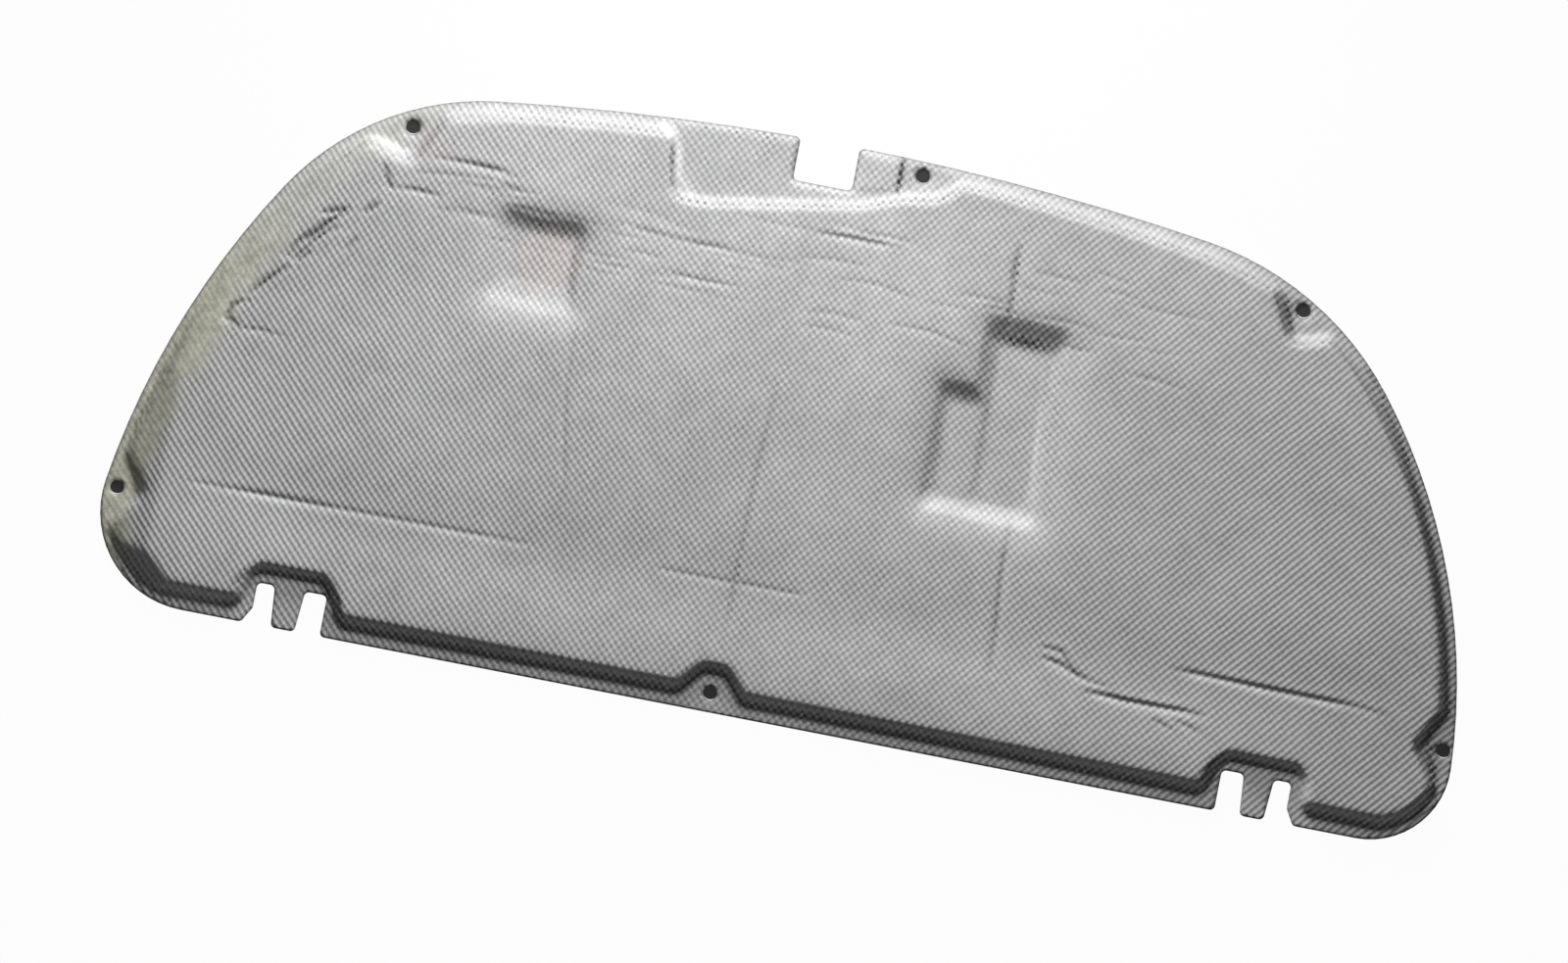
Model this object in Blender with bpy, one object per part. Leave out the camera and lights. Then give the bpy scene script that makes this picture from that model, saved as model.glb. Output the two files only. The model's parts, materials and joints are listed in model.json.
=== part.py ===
"""Hood insulation pad: one felt blank, moulded in a press.

The press squeezes the rim flat and hard for the clips and leaves the field thick, so the pad
is a thin rim plate with a raised body on it. The body's wall runs round every clip land and
notch in one soft S-shaped section, and the pockets and creases are drawn into its top.

Units are metres, +Z is up, the back lies flat on Z = 0. +X runs along the long side, +Y points
to the arched front edge, and the origin is in the middle of the back's bounding box.
"""
import math

import bmesh
import bpy
from mathutils import Matrix, Vector

# Overall outline: a straight rear edge and, on each side, a chain of tangent arcs that ends at the
# peak of the arched front. A side's chain is: rear corner radius, lean at the end of that corner,
# side radius, front corner radius.
HALF_WIDTH = 0.602
DEPTH = 0.510
SIDE_CHAINS = {
    -1: (0.087, math.radians(8.2), 0.718, 0.237),
    1: (0.071, math.radians(2.9), 0.543, 0.277),
}
ARCH_RADIUS = 2.350
ARCH_PEAK_X = -0.018

# Thickness
RIM_THICKNESS = 0.0030
BODY_HEIGHT = 0.0180
SHELF_HEIGHT = 0.0055
SHELF_MARGIN = 0.0015
RIM_WIDTH = 0.0065
REAR_RIM_WIDTH = 0.0090

# Wall of the raised body
WALL_FOOT = 0.0004
WALL_RUN = 0.0110
WALL_STEPS = 6
REAR_WALL_EXTRA_RUN = 0.0050
REAR_WALL_REACH = 0.0300
TOP_OUTER_CORNER = 0.0035
FOOT_INNER_CORNER = 0.0070
RIM_CORNER = 0.0045

# Long gentle flanks on the left side: the way each one faces and how far it runs in
FLANKS = (
    (math.radians(180.0), 0.042),
    (math.radians(152.0), 0.026),
    (math.radians(228.0), 0.024),
)

# Clip holes: SIDE_CLIPS as (side, distance from the rear edge, distance in from the side edge),
# CORNER_CLIPS as (side, distance in from the pad's widest point, distance behind the front edge)
CLIP_HOLE_DIAMETER = 0.0120
REAR_CLIP_X = -0.0467
REAR_CLIP_FROM_REAR = 0.0169
SIDE_CLIPS = ((-1, 0.0950, 0.0114), (1, 0.0895, 0.0084))
CORNER_CLIPS = ((-1, 0.2058, 0.0163), (1, 0.2028, 0.0130))
FRONT_CLIP_X = 0.0498
FRONT_CLIP_FROM_FRONT = 0.0140

# Lands round the clip holes, measured from the hole: x is away from the pad's middle
REAR_LAND_TOP = 0.0160
REAR_LAND_TOP_WIDTH = 0.0160
REAR_LAND_MOUTH_WIDTH = 0.0680
SIDE_LAND_REACH = 0.0190
SIDE_LAND_FRONT = 0.0330
SIDE_LAND_REAR = 0.0290
CORNER_LAND_POINT = (-0.0035, -0.0230)
CORNER_LAND_INNER = (-0.0225, 0.0170)
CORNER_LAND_OUTER = (0.0330, -0.0115)

# Rear notches: two slots with a tongue between them, placed from the side edge
NOTCH_SPOTS = ((-1, 0.1774), (1, 0.1635))
NOTCH_DEPTH = 0.0365
TONGUE_ROOT_WIDTH = 0.0270
TONGUE_TIP_WIDTH = 0.0210
INNER_SLOT_WIDTH = 0.0195
OUTER_SLOT_WIDTH = 0.0155
SLOT_MOUTH_FLARE = 0.0080
SLOT_MOUTH_LENGTH = 0.0140
NOTCH_MARGIN = 0.0085

# Relief at the front edge, as (x, distance behind the front edge), its cut-out and its step
RELIEF_LEFT = -0.1660
RELIEF_CORNER = (-0.1560, 0.0670)
RELIEF_REAR = (-0.1270, 0.0655)
RELIEF_MIDDLE = (0.0000, 0.0435)
RELIEF_LAND_START = (0.0340, 0.0310)
RELIEF_LAND_END = (0.0640, 0.0260)
RELIEF_RIGHT = 0.0870
CUTOUT_CENTRE_X = -0.0352
CUTOUT_WIDTH = 0.0525
CUTOUT_DEPTH = 0.0384
STEP_X = 0.0300

# Drawn-in pockets: (left, right, rear, front) of the floor, then the run of each soft shoulder
LEFT_POCKET = (-0.2910, -0.2380, 0.0850, 0.1280)
LEFT_POCKET_RUNS = (0.030, 0.014, 0.042, 0.034)
LEFT_POCKET_DEPTH = 0.0090
TALL_POCKET = (0.1445, 0.1917, -0.0300, 0.1094)
TALL_POCKET_RUNS = (0.026, 0.020, 0.024, 0.040)
TALL_POCKET_DEPTH = 0.0110
SHORT_POCKET = (0.1110, 0.1500, -0.0300, 0.0532)
SHORT_POCKET_RUNS = (0.022, 0.014, 0.024, 0.030)
SHORT_POCKET_DEPTH = 0.0085
POCKET_CORNER = 0.0060
POCKET_STEPS = 5
POCKET_BEND = 2.5

# Creases and the larger wrinkles, as (width, depth, route)
CREASES = {
    "crease_left": (0.0050, 0.0011, ((-0.2250, 0.0700), (-0.2210, -0.0160), (-0.2040, -0.1050))),
    "crease_middle": (0.0055, 0.0013, ((-0.0410, 0.0200), (-0.0430, -0.0900), (-0.0440, -0.2060))),
    "crease_right": (0.0055, 0.0013, ((0.1815, -0.0480), (0.1870, -0.1200), (0.1910, -0.1980))),
    "crease_above": (0.0050, 0.0012, ((0.1440, 0.1980), (0.1450, 0.1480))),
    "crease_rear_left": (0.0060, 0.0013, ((-0.5230, -0.1425), (-0.3500, -0.1415), (-0.1750, -0.1405))),
    "crease_rear_middle": (0.0050, 0.0010, ((-0.1300, -0.1400), (-0.0600, -0.1395), (0.0450, -0.1385))),
    "crease_rear_right": (0.0060, 0.0014, ((0.3300, -0.1400), (0.4300, -0.1415), (0.5250, -0.1420))),
    "wrinkle_rear_a": (0.0055, 0.0013, ((0.2250, -0.1490), (0.2700, -0.1640), (0.3000, -0.1690))),
    "wrinkle_rear_b": (0.0060, 0.0014, ((0.2650, -0.1745), (0.3200, -0.1750), (0.3850, -0.1735))),
    "wrinkle_flank_a": (0.0060, 0.0015, ((-0.4350, 0.1190), (-0.4650, 0.0830), (-0.5050, 0.0370))),
    "wrinkle_flank_b": (0.0055, 0.0014, ((-0.4430, 0.1130), (-0.4730, 0.0700))),
    "wrinkle_flank_c": (0.0050, 0.0012, ((-0.4090, 0.1540), (-0.4200, 0.1180), (-0.4420, 0.0860))),
    "wrinkle_side": (0.0050, 0.0012, ((-0.5220, 0.0005), (-0.4750, -0.0010))),
    "wrinkle_front_a": (0.0055, 0.0013, ((-0.3900, 0.1750), (-0.3450, 0.1755), (-0.2950, 0.1745))),
    "wrinkle_front_b": (0.0055, 0.0013, ((-0.4060, 0.1440), (-0.3450, 0.1440))),
    "wrinkle_front_c": (0.0050, 0.0012, ((-0.0440, 0.1755), (0.0000, 0.1750), (0.0400, 0.1750))),
    "wrinkle_front_d": (0.0050, 0.0011, ((-0.2150, 0.1480), (-0.1300, 0.1450), (-0.0500, 0.1420))),
}
CREASE_RUN_OUT = 0.35
CREASE_SIDES_RESOLUTION = 2

# How finely curves are followed, and small working values
CHORD_ERROR = 0.00015
CORNER_SEGMENTS = 5
POCKET_CORNER_SEGMENTS = 4
HOLE_SEGMENTS = 28
SHARP_TURN = math.radians(18.0)
BODY_SEAT = 0.0012
OVERCUT = 0.0300
CUT_CLEARANCE = 0.0010
CLOSEST_POINTS = 0.0003
WELD = 0.000005

FACING_COLOUR = (0.39, 0.39, 0.40, 1.0)
FACING_ROUGHNESS = 0.72


def clear_scene():
    for item in list(bpy.data.objects):
        bpy.data.objects.remove(item, do_unlink=True)


def new_collection(name):
    collection = bpy.data.collections.new(name)
    bpy.context.scene.collection.children.link(collection)
    return collection


def mesh_object(name, mesh, collection):
    item = bpy.data.objects.new(name, mesh)
    collection.objects.link(item)
    return item


def evaluated_mesh(item):
    """The object's mesh with its modifiers applied."""
    graph = bpy.context.evaluated_depsgraph_get()
    graph.update()
    return bpy.data.meshes.new_from_object(item.evaluated_get(graph))


def curve_to_mesh_object(name, curve, location, collection):
    """Turns a curve into a closed mesh object, with its caps welded on and its place applied."""
    carrier = mesh_object(name + "_curve", curve, collection)
    carrier.location = location
    bpy.context.view_layer.update()
    mesh = evaluated_mesh(carrier)
    mesh.transform(carrier.matrix_world)
    bpy.data.objects.remove(carrier, do_unlink=True)
    shape = bmesh.new()
    shape.from_mesh(mesh)
    bmesh.ops.remove_doubles(shape, verts=shape.verts, dist=WELD)
    bmesh.ops.recalc_face_normals(shape, faces=shape.faces)
    shape.to_mesh(mesh)
    shape.free()
    return mesh_object(name, mesh, collection)


def plan_slab(name, outline, bottom, top, collection):
    """A flat plate of the given plan outline: a filled 2D curve, extruded by half each way."""
    curve = bpy.data.curves.new(name, "CURVE")
    curve.dimensions = "2D"
    curve.fill_mode = "BOTH"
    curve.extrude = (top - bottom) / 2
    spline = curve.splines.new("POLY")
    spline.points.add(len(outline) - 1)
    for point, (x, y) in zip(spline.points, outline):
        point.co = (x, y, 0, 1)
    spline.use_cyclic_u = True
    slab = curve_to_mesh_object(name, curve, (0, 0, (top + bottom) / 2), collection)
    flatten_caps(slab.data)
    return slab


def flatten_caps(mesh):
    """Joins the triangles of a plate's top into one face, and those of its underside."""
    shape = bmesh.new()
    shape.from_mesh(mesh)
    heights = [point.co.z for point in shape.verts]
    for level in (min(heights), max(heights)):
        cap = [face for face in shape.faces
               if all(abs(point.co.z - level) < WELD for point in face.verts)]
        bmesh.ops.dissolve_faces(shape, faces=cap, use_verts=False)
    shape.to_mesh(mesh)
    shape.free()


def add_boolean(target, cutter, operation):
    cut = target.modifiers.new(cutter.name, "BOOLEAN")
    cut.operation = operation
    cut.solver = "EXACT"
    cut.object = cutter
    cutter.display_type = "WIRE"
    cutter.hide_render = True


def arc(centre, radius, start, end):
    """Points along an arc, close enough together that a chord strays by CHORD_ERROR at most."""
    step = 2 * math.acos(1 - CHORD_ERROR / radius)
    count = max(2, math.ceil(abs(end - start) / step))
    angles = [start + (end - start) * i / count for i in range(count + 1)]
    return [(centre[0] + radius * math.cos(a), centre[1] + radius * math.sin(a)) for a in angles]


def arc_centres(side_sign):
    """Centres of one side's arcs, as on the right: rear corner, side, front corner and arch."""
    rear_radius, lean_angle, side_radius, corner_radius = SIDE_CHAINS[side_sign]
    rear = Vector((HALF_WIDTH - rear_radius, rear_radius - DEPTH / 2))
    lean = Vector((math.cos(lean_angle), math.sin(lean_angle)))
    side = rear - lean * (side_radius - rear_radius)
    front = Vector((side_sign * ARCH_PEAK_X, DEPTH / 2 - ARCH_RADIUS))
    to_front = front - side
    reach_side = side_radius - corner_radius
    reach_front = ARCH_RADIUS - corner_radius
    along = (to_front.length_squared + reach_side**2 - reach_front**2) / (2 * to_front.length)
    across = math.sqrt(reach_side**2 - along**2)
    towards = to_front.normalized()
    sideways = Vector((-towards.y, towards.x))
    corner = side + towards * along + sideways * across
    return rear, side, corner, front


def direction(start, end):
    return math.atan2(end[1] - start[1], end[0] - start[0])


def half_outline(side_sign, inset):
    """One side of the outline, from the rear edge to the peak of the arch, moved in by inset."""
    rear_radius, lean_angle, side_radius, corner_radius = SIDE_CHAINS[side_sign]
    rear, side, corner, front = arc_centres(side_sign)
    lean_end = direction(side, corner)
    corner_end = direction(front, corner)
    points = arc(rear, rear_radius - inset, -math.pi / 2, lean_angle)
    points += arc(side, side_radius - inset, lean_angle, lean_end)[1:]
    points += arc(corner, corner_radius - inset, lean_end, corner_end)[1:]
    points += arc(front, ARCH_RADIUS - inset, corner_end, math.pi / 2)[1:]
    return [(side_sign * x, y) for x, y in points]


def pad_outline(inset):
    """The pad's outline, counter-clockwise from the rear right, moved in by inset."""
    left = half_outline(-1, inset)
    return half_outline(1, inset) + left[-2::-1]


def rear_edge():
    return -DEPTH / 2


def front_edge():
    return DEPTH / 2


def crossings(axis, value):
    """Where the outline crosses the line on which one coordinate has the given value."""
    points = pad_outline(0)
    found = []
    for a, b in zip(points, points[1:] + points[:1]):
        if min(a[axis], b[axis]) <= value < max(a[axis], b[axis]):
            share = (value - a[axis]) / (b[axis] - a[axis])
            found.append(a[1 - axis] + share * (b[1 - axis] - a[1 - axis]))
    return found


def clip_spots():
    """Centres of the clip holes: the rear one, the side ones, the corner ones and the front one."""
    rear = (REAR_CLIP_X, rear_edge() + REAR_CLIP_FROM_REAR)
    front = (FRONT_CLIP_X, front_edge() - FRONT_CLIP_FROM_FRONT)
    sides = []
    for side, along, inset in SIDE_CLIPS:
        y = rear_edge() + along
        edge = max(side * x for x in crossings(1, y))
        sides.append((side * (edge - inset), y))
    corners = []
    for side, inset, behind in CORNER_CLIPS:
        x = side * (HALF_WIDTH - inset)
        corners.append((x, max(crossings(0, x)) - behind))
    return rear, sides, corners, front


def notch_centres():
    return [side * (HALF_WIDTH - inset) for side, inset in NOTCH_SPOTS]


def plan_cut(outline, cuts):
    """The outline that is left of a flat shape when the cut shapes are taken out of it."""
    stock = plan_slab("plan_stock", outline, 0, BODY_HEIGHT, cutters)
    tools = []
    for number, cut in enumerate(cuts):
        tool = plan_slab(f"plan_tool_{number}", cut, -OVERCUT, BODY_HEIGHT + OVERCUT, cutters)
        add_boolean(stock, tool, "DIFFERENCE")
        tools.append(tool)
    mesh = evaluated_mesh(stock)
    flatten_caps(mesh)
    top = max(mesh.polygons, key=lambda face: face.normal.z * face.area)
    points = [tuple(mesh.vertices[i].co[:2]) for i in top.vertices]
    for item in tools + [stock]:
        bpy.data.objects.remove(item, do_unlink=True)
    return points


def turn_at(points, i):
    """The turn at point i, positive where a counter-clockwise outline bulges out."""
    here = Vector(points[i])
    back = here - Vector(points[i - 1])
    ahead = Vector(points[(i + 1) % len(points)]) - here
    return math.atan2(back.x * ahead.y - back.y * ahead.x, back.dot(ahead))


def walk(points, i, distance, step):
    """The point at a distance along the outline from point i, and how many points it passes."""
    here = Vector(points[i])
    passed = 0
    while True:
        following = Vector(points[(i + step) % len(points)])
        gap = (following - here).length
        if gap >= distance:
            return here.lerp(following, distance / gap), passed
        distance -= gap
        here = following
        i += step
        passed += 1


def rounded(points, outer_radius, inner_radius):
    """Rounds every sharp corner of an outline with an arc of the given radius."""
    count = len(points)
    sharp = [i for i in range(count) if abs(turn_at(points, i)) > SHARP_TURN]
    arcs = {}
    dropped = set()
    for number, i in enumerate(sharp):
        turn = turn_at(points, i)
        radius = outer_radius if turn > 0 else inner_radius
        room = min(
            way_between(points, sharp[number - 1], i),
            way_between(points, i, sharp[(number + 1) % len(sharp)]),
        )
        reach = min(radius * math.tan(abs(turn) / 2), room / 2 - CUT_CLEARANCE)
        start, passed_back = walk(points, i, reach, -1)
        end, passed_ahead = walk(points, i, reach, 1)
        dropped.update((i + k) % count for k in range(-passed_back, passed_ahead + 1))
        arcs[i] = conic(start, Vector(points[i]), end, math.cos(turn / 2))
    result = []
    for i in range(count):
        if i in arcs:
            result.extend(arcs[i])
        elif i not in dropped:
            result.append(points[i])
    return spaced(result)


def way_between(points, start, end):
    """How far it is along the outline from one point to a later one."""
    count = len(points)
    steps = (end - start) % count
    corners = [Vector(points[(start + k) % count]) for k in range(steps + 1)]
    return sum((b - a).length for a, b in zip(corners, corners[1:]))


def spaced(points):
    """The outline without the points that all but touch the one before them."""
    return [spot for i, spot in enumerate(points)
            if (Vector(spot) - Vector(points[i - 1])).length > CLOSEST_POINTS]


def conic(start, corner, end, weight):
    """A circular arc from start to end that touches both legs of the corner."""
    points = []
    for k in range(CORNER_SEGMENTS + 1):
        t = k / CORNER_SEGMENTS
        a, b, c = (1 - t) ** 2, 2 * t * (1 - t) * weight, t**2
        spot = (start * a + corner * b + end * c) / (a + b + c)
        points.append((spot.x, spot.y))
    return points


def side_of(x):
    return 1 if x > 0 else -1


def notch_slots(centre):
    """The two slots of a notch, each reaching out past the rear edge."""
    side = side_of(centre)
    root, tip = TONGUE_ROOT_WIDTH / 2, TONGUE_TIP_WIDTH / 2
    top = rear_edge() + NOTCH_DEPTH
    mouth = rear_edge() + SLOT_MOUTH_LENGTH
    below = rear_edge() - OVERCUT
    tip_x = tip - (root - tip) * OVERCUT / NOTCH_DEPTH
    outer = root + OUTER_SLOT_WIDTH
    inner = root + INNER_SLOT_WIDTH
    flared = outer + SLOT_MOUTH_FLARE * (1 + OVERCUT / SLOT_MOUTH_LENGTH)
    outer_slot = [(root, top), (outer, top), (outer, mouth), (flared, below), (tip_x, below)]
    inner_slot = [(-root, top), (-inner, top), (-inner, below), (-tip_x, below)]
    return [counter_clockwise([(centre + side * x, y) for x, y in slot])
            for slot in (outer_slot, inner_slot)]


def counter_clockwise(points):
    area = sum(a[0] * b[1] - b[0] * a[1] for a, b in zip(points, points[1:] + points[:1]))
    return points if area > 0 else points[::-1]


def notch_pocket(centre):
    """The room that the raised body leaves round a notch."""
    side = side_of(centre)
    outer = TONGUE_ROOT_WIDTH / 2 + OUTER_SLOT_WIDTH + NOTCH_MARGIN
    inner = TONGUE_ROOT_WIDTH / 2 + INNER_SLOT_WIDTH + NOTCH_MARGIN
    top = rear_edge() + NOTCH_DEPTH + NOTCH_MARGIN
    below = rear_edge() - OVERCUT
    corners = [(-inner, below), (-inner, top), (outer, top), (outer, below)]
    return counter_clockwise([(centre + side * x, y) for x, y in corners])


def rear_strip():
    """The rim along the rear edge, which is wider than elsewhere."""
    below = rear_edge() - OVERCUT
    top = rear_edge() + REAR_RIM_WIDTH
    return [(-HALF_WIDTH, below), (HALF_WIDTH, below), (HALF_WIDTH, top), (-HALF_WIDTH, top)]


def rear_land(clip):
    x, y = clip
    below = rear_edge() - OVERCUT
    half_top, half_mouth = REAR_LAND_TOP_WIDTH / 2, REAR_LAND_MOUTH_WIDTH / 2
    top = y + REAR_LAND_TOP
    slope = (half_mouth - half_top) / (top - rear_edge())
    half_below = half_mouth + slope * OVERCUT
    return [(x - half_below, below), (x + half_below, below), (x + half_top, top), (x - half_top, top)]


def side_land(clip):
    """A three-cornered land whose point reaches in behind the clip hole."""
    x, y = clip
    side = side_of(x)
    rim = x + side * OVERCUT
    spread = 1 + OVERCUT / SIDE_LAND_REACH
    inner = x - side * SIDE_LAND_REACH
    corners = [(inner, y), (rim, y + SIDE_LAND_FRONT * spread), (rim, y - SIDE_LAND_REAR * spread)]
    return counter_clockwise(corners)


def corner_land(clip):
    """A three-cornered land open to the front edge, its two legs run on past the rim."""
    x, y = clip
    side = side_of(x)
    point = Vector(CORNER_LAND_POINT)
    inner = Vector(CORNER_LAND_INNER) - point
    outer = Vector(CORNER_LAND_OUTER) - point
    corners = [
        point,
        point + outer * (1 + OVERCUT / outer.length),
        point + inner * (1 + OVERCUT / inner.length),
    ]
    return counter_clockwise([(x + side * spot.x, y + spot.y) for spot in corners])


def front_relief():
    """The low field at the front edge, from the left wall to the front clip's land."""
    stations = [
        (RELIEF_LEFT - RIM_WIDTH, -OVERCUT),
        RELIEF_CORNER,
        RELIEF_REAR,
        RELIEF_MIDDLE,
        RELIEF_LAND_START,
        RELIEF_LAND_END,
        (RELIEF_RIGHT, RIM_WIDTH),
        (RELIEF_RIGHT + RIM_WIDTH, -OVERCUT),
    ]
    return counter_clockwise([(x, front_edge() - behind) for x, behind in stations])


def front_cutout(margin):
    """The square cut-out through the front edge, made wider by a margin on each side."""
    left = CUTOUT_CENTRE_X - CUTOUT_WIDTH / 2 - margin
    right = CUTOUT_CENTRE_X + CUTOUT_WIDTH / 2 + margin
    floor = front_edge() - CUTOUT_DEPTH - margin
    beyond = front_edge() + OVERCUT
    return [(left, floor), (right, floor), (right, beyond), (left, beyond)]


def rim_outline():
    slots = [slot for centre in notch_centres() for slot in notch_slots(centre)]
    return rounded(plan_cut(pad_outline(0), slots + [front_cutout(0)]), RIM_CORNER, RIM_CORNER)


def body_outline():
    rear, sides, corners, _ = clip_spots()
    lands = [notch_pocket(centre) for centre in notch_centres()]
    lands += [rear_strip(), rear_land(rear), front_relief()]
    lands += [side_land(clip) for clip in sides]
    lands += [corner_land(clip) for clip in corners]
    foot = plan_cut(pad_outline(RIM_WIDTH), lands)
    return rounded(foot, WALL_RUN + TOP_OUTER_CORNER, FOOT_INNER_CORNER)


def raised_body():
    """The thick field: its plan outline, drawn in step by step along the wall's section."""
    foot = RIM_THICKNESS + WALL_FOOT
    body = plan_slab("raised_body", body_outline(), BODY_SEAT, foot, cutters)
    shape = bmesh.new()
    shape.from_mesh(body.data)
    for step in range(WALL_STEPS):
        rise = wall_height(step + 1) - wall_height(step)
        bmesh.ops.inset_region(
            shape, faces=[highest_face(shape)], thickness=WALL_RUN / WALL_STEPS, depth=rise,
            use_boundary=True, use_even_offset=True,
        )
        soften_rear(highest_face(shape))
    for facing, run in FLANKS:
        cut_flank(shape, facing, run)
    bmesh.ops.dissolve_degenerate(shape, dist=CLOSEST_POINTS, edges=shape.edges)
    shape.to_mesh(body.data)
    shape.free()
    return body


def highest_face(shape):
    return max(shape.faces, key=lambda face: face.calc_center_median().z)


def soften_rear(top):
    """Draws the rear part of a wall step further in: that wall falls more gently than the rest."""
    rear = min(point.co.y for point in top.verts)
    for point in top.verts:
        share = max(0.0, 1 - (point.co.y - rear) / REAR_WALL_REACH)
        point.co.y += share * REAR_WALL_EXTRA_RUN / WALL_STEPS


def wall_height(step):
    """Height of the wall over its foot: it starts soft, stands steep and ends in a shoulder."""
    rise = BODY_HEIGHT - RIM_THICKNESS - WALL_FOOT
    return rise * (1 - math.cos(math.pi * step / WALL_STEPS)) / 2


def cut_flank(shape, facing, run):
    """Planes off the body's edge, from the wall's foot up to the top over the given run."""
    outward = Vector((math.cos(facing), math.sin(facing), 0))
    reach = max(outward.x * x + outward.y * y for x, y in pad_outline(RIM_WIDTH))
    foot = outward * reach + Vector((0, 0, RIM_THICKNESS))
    rise = BODY_HEIGHT - RIM_THICKNESS
    normal = (outward * rise + Vector((0, 0, run))).normalized()
    everything = list(shape.verts) + list(shape.edges) + list(shape.faces)
    bmesh.ops.bisect_plane(shape, geom=everything, plane_co=foot, plane_no=normal, clear_outer=True)
    open_edges = [edge for edge in shape.edges if edge.is_boundary]
    bmesh.ops.holes_fill(shape, edges=open_edges)
    bmesh.ops.recalc_face_normals(shape, faces=shape.faces)


def front_shelf():
    """The relief's floor, a little above the rim and ending in a step beside the clip land."""
    plan = plan_cut(pad_outline(SHELF_MARGIN), [front_cutout(SHELF_MARGIN)])
    plan = rounded(plan, RIM_CORNER, RIM_CORNER)
    shelf = plan_slab("front_shelf", plan, BODY_SEAT, SHELF_HEIGHT, cutters)
    left = RELIEF_LEFT - RIM_WIDTH / 2
    rear = front_edge() - max(RELIEF_CORNER[1], RELIEF_REAR[1]) - RIM_WIDTH
    beyond = front_edge() + OVERCUT
    window = plan_slab(
        "shelf_window", [(left, rear), (STEP_X, rear), (STEP_X, beyond), (left, beyond)],
        -OVERCUT, OVERCUT, cutters,
    )
    add_boolean(shelf, window, "INTERSECT")
    shelf.data = evaluated_mesh(shelf)
    shelf.modifiers.clear()
    bpy.data.objects.remove(window, do_unlink=True)
    return shelf


def clip_hole(name, clip):
    shape = bmesh.new()
    bmesh.ops.create_cone(
        shape, cap_ends=True, segments=HOLE_SEGMENTS, radius1=CLIP_HOLE_DIAMETER / 2,
        radius2=CLIP_HOLE_DIAMETER / 2, depth=2 * OVERCUT,
        matrix=Matrix.Translation((clip[0], clip[1], 0)),
    )
    mesh = bpy.data.meshes.new(name)
    shape.to_mesh(mesh)
    shape.free()
    return mesh_object(name, mesh, cutters)


def soft_pocket(name, floor, runs, depth):
    """Cutter for a drawn-in pocket: its floor grows upward and outward into a soft shoulder."""
    left, right, rear, front = floor
    run_left, run_right, run_rear, run_front = runs
    shape = bmesh.new()
    size = Matrix.Diagonal((right - left, front - rear, 1, 1))
    place = Matrix.Translation(((left + right) / 2, (rear + front) / 2, BODY_HEIGHT - depth))
    bmesh.ops.create_grid(shape, x_segments=1, y_segments=1, size=0.5, matrix=place @ size)
    bmesh.ops.bevel(
        shape, geom=list(shape.verts), offset=POCKET_CORNER, offset_type="OFFSET",
        segments=POCKET_CORNER_SEGMENTS, profile=0.5, affect="VERTICES", material=-1,
    )
    low, high = Vector((left, rear)), Vector((right, front))
    for step in range(1, POCKET_STEPS + 1):
        t = step / POCKET_STEPS
        rise = (depth + CUT_CLEARANCE) * (1 - (1 - t) ** POCKET_BEND)
        next_low = Vector((left - run_left * t, rear - run_rear * t))
        next_high = Vector((right + run_right * t, front + run_front * t))
        top = highest_face(shape)
        grown = bmesh.ops.extrude_face_region(shape, geom=[top], use_keep_orig=True)
        if step > 1:
            bmesh.ops.delete(shape, geom=[top], context="FACES_ONLY")
        points = [item for item in grown["geom"] if isinstance(item, bmesh.types.BMVert)]
        for point in points:
            for axis in (0, 1):
                share = (point.co[axis] - low[axis]) / (high[axis] - low[axis])
                point.co[axis] = next_low[axis] + share * (next_high[axis] - next_low[axis])
            point.co.z = BODY_HEIGHT - depth + rise
        low, high = next_low, next_high
    bmesh.ops.recalc_face_normals(shape, faces=shape.faces)
    mesh = bpy.data.meshes.new(name)
    shape.to_mesh(mesh)
    shape.free()
    return mesh_object(name, mesh, cutters)


def crease(name, width, depth, route):
    """Cutter for a crease: a round rod along the route that thins and runs out at its ends."""
    radius = (width**2 / 4 + depth**2) / (2 * depth)
    curve = bpy.data.curves.new(name, "CURVE")
    curve.dimensions = "3D"
    curve.bevel_depth = radius
    curve.bevel_resolution = CREASE_SIDES_RESOLUTION
    curve.use_fill_caps = True
    points = crease_points(route)
    spline = curve.splines.new("POLY")
    spline.points.add(len(points) - 1)
    lift = BODY_HEIGHT + radius - depth
    for number, (x, y) in enumerate(points):
        spline.points[number].co = (x, y, lift, 1)
        at_end = number in (0, len(points) - 1)
        spline.points[number].radius = 1 - (CUT_CLEARANCE + depth) / radius if at_end else 1
    return curve_to_mesh_object(name, curve, (0, 0, 0), cutters)


def crease_points(route):
    """The route with a point near each end, from where the crease starts to run out."""
    points = [Vector(spot) for spot in route]
    first = points[0].lerp(points[1], CREASE_RUN_OUT)
    last = points[-1].lerp(points[-2], CREASE_RUN_OUT)
    return [points[0], first] + points[1:-1] + [last, points[-1]]


def facing_material():
    material = bpy.data.materials.new("facing")
    material.use_nodes = True
    shader = material.node_tree.nodes["Principled BSDF"]
    shader.inputs["Base Color"].default_value = FACING_COLOUR
    shader.inputs["Roughness"].default_value = FACING_ROUGHNESS
    shader.inputs["Metallic"].default_value = 0.0
    material.diffuse_color = FACING_COLOUR
    return material


def clip_holes():
    rear, sides, corners, front = clip_spots()
    clips = [rear, *sides, *corners, front]
    return [clip_hole(f"clip_hole_{number}", clip) for number, clip in enumerate(clips)]


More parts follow.
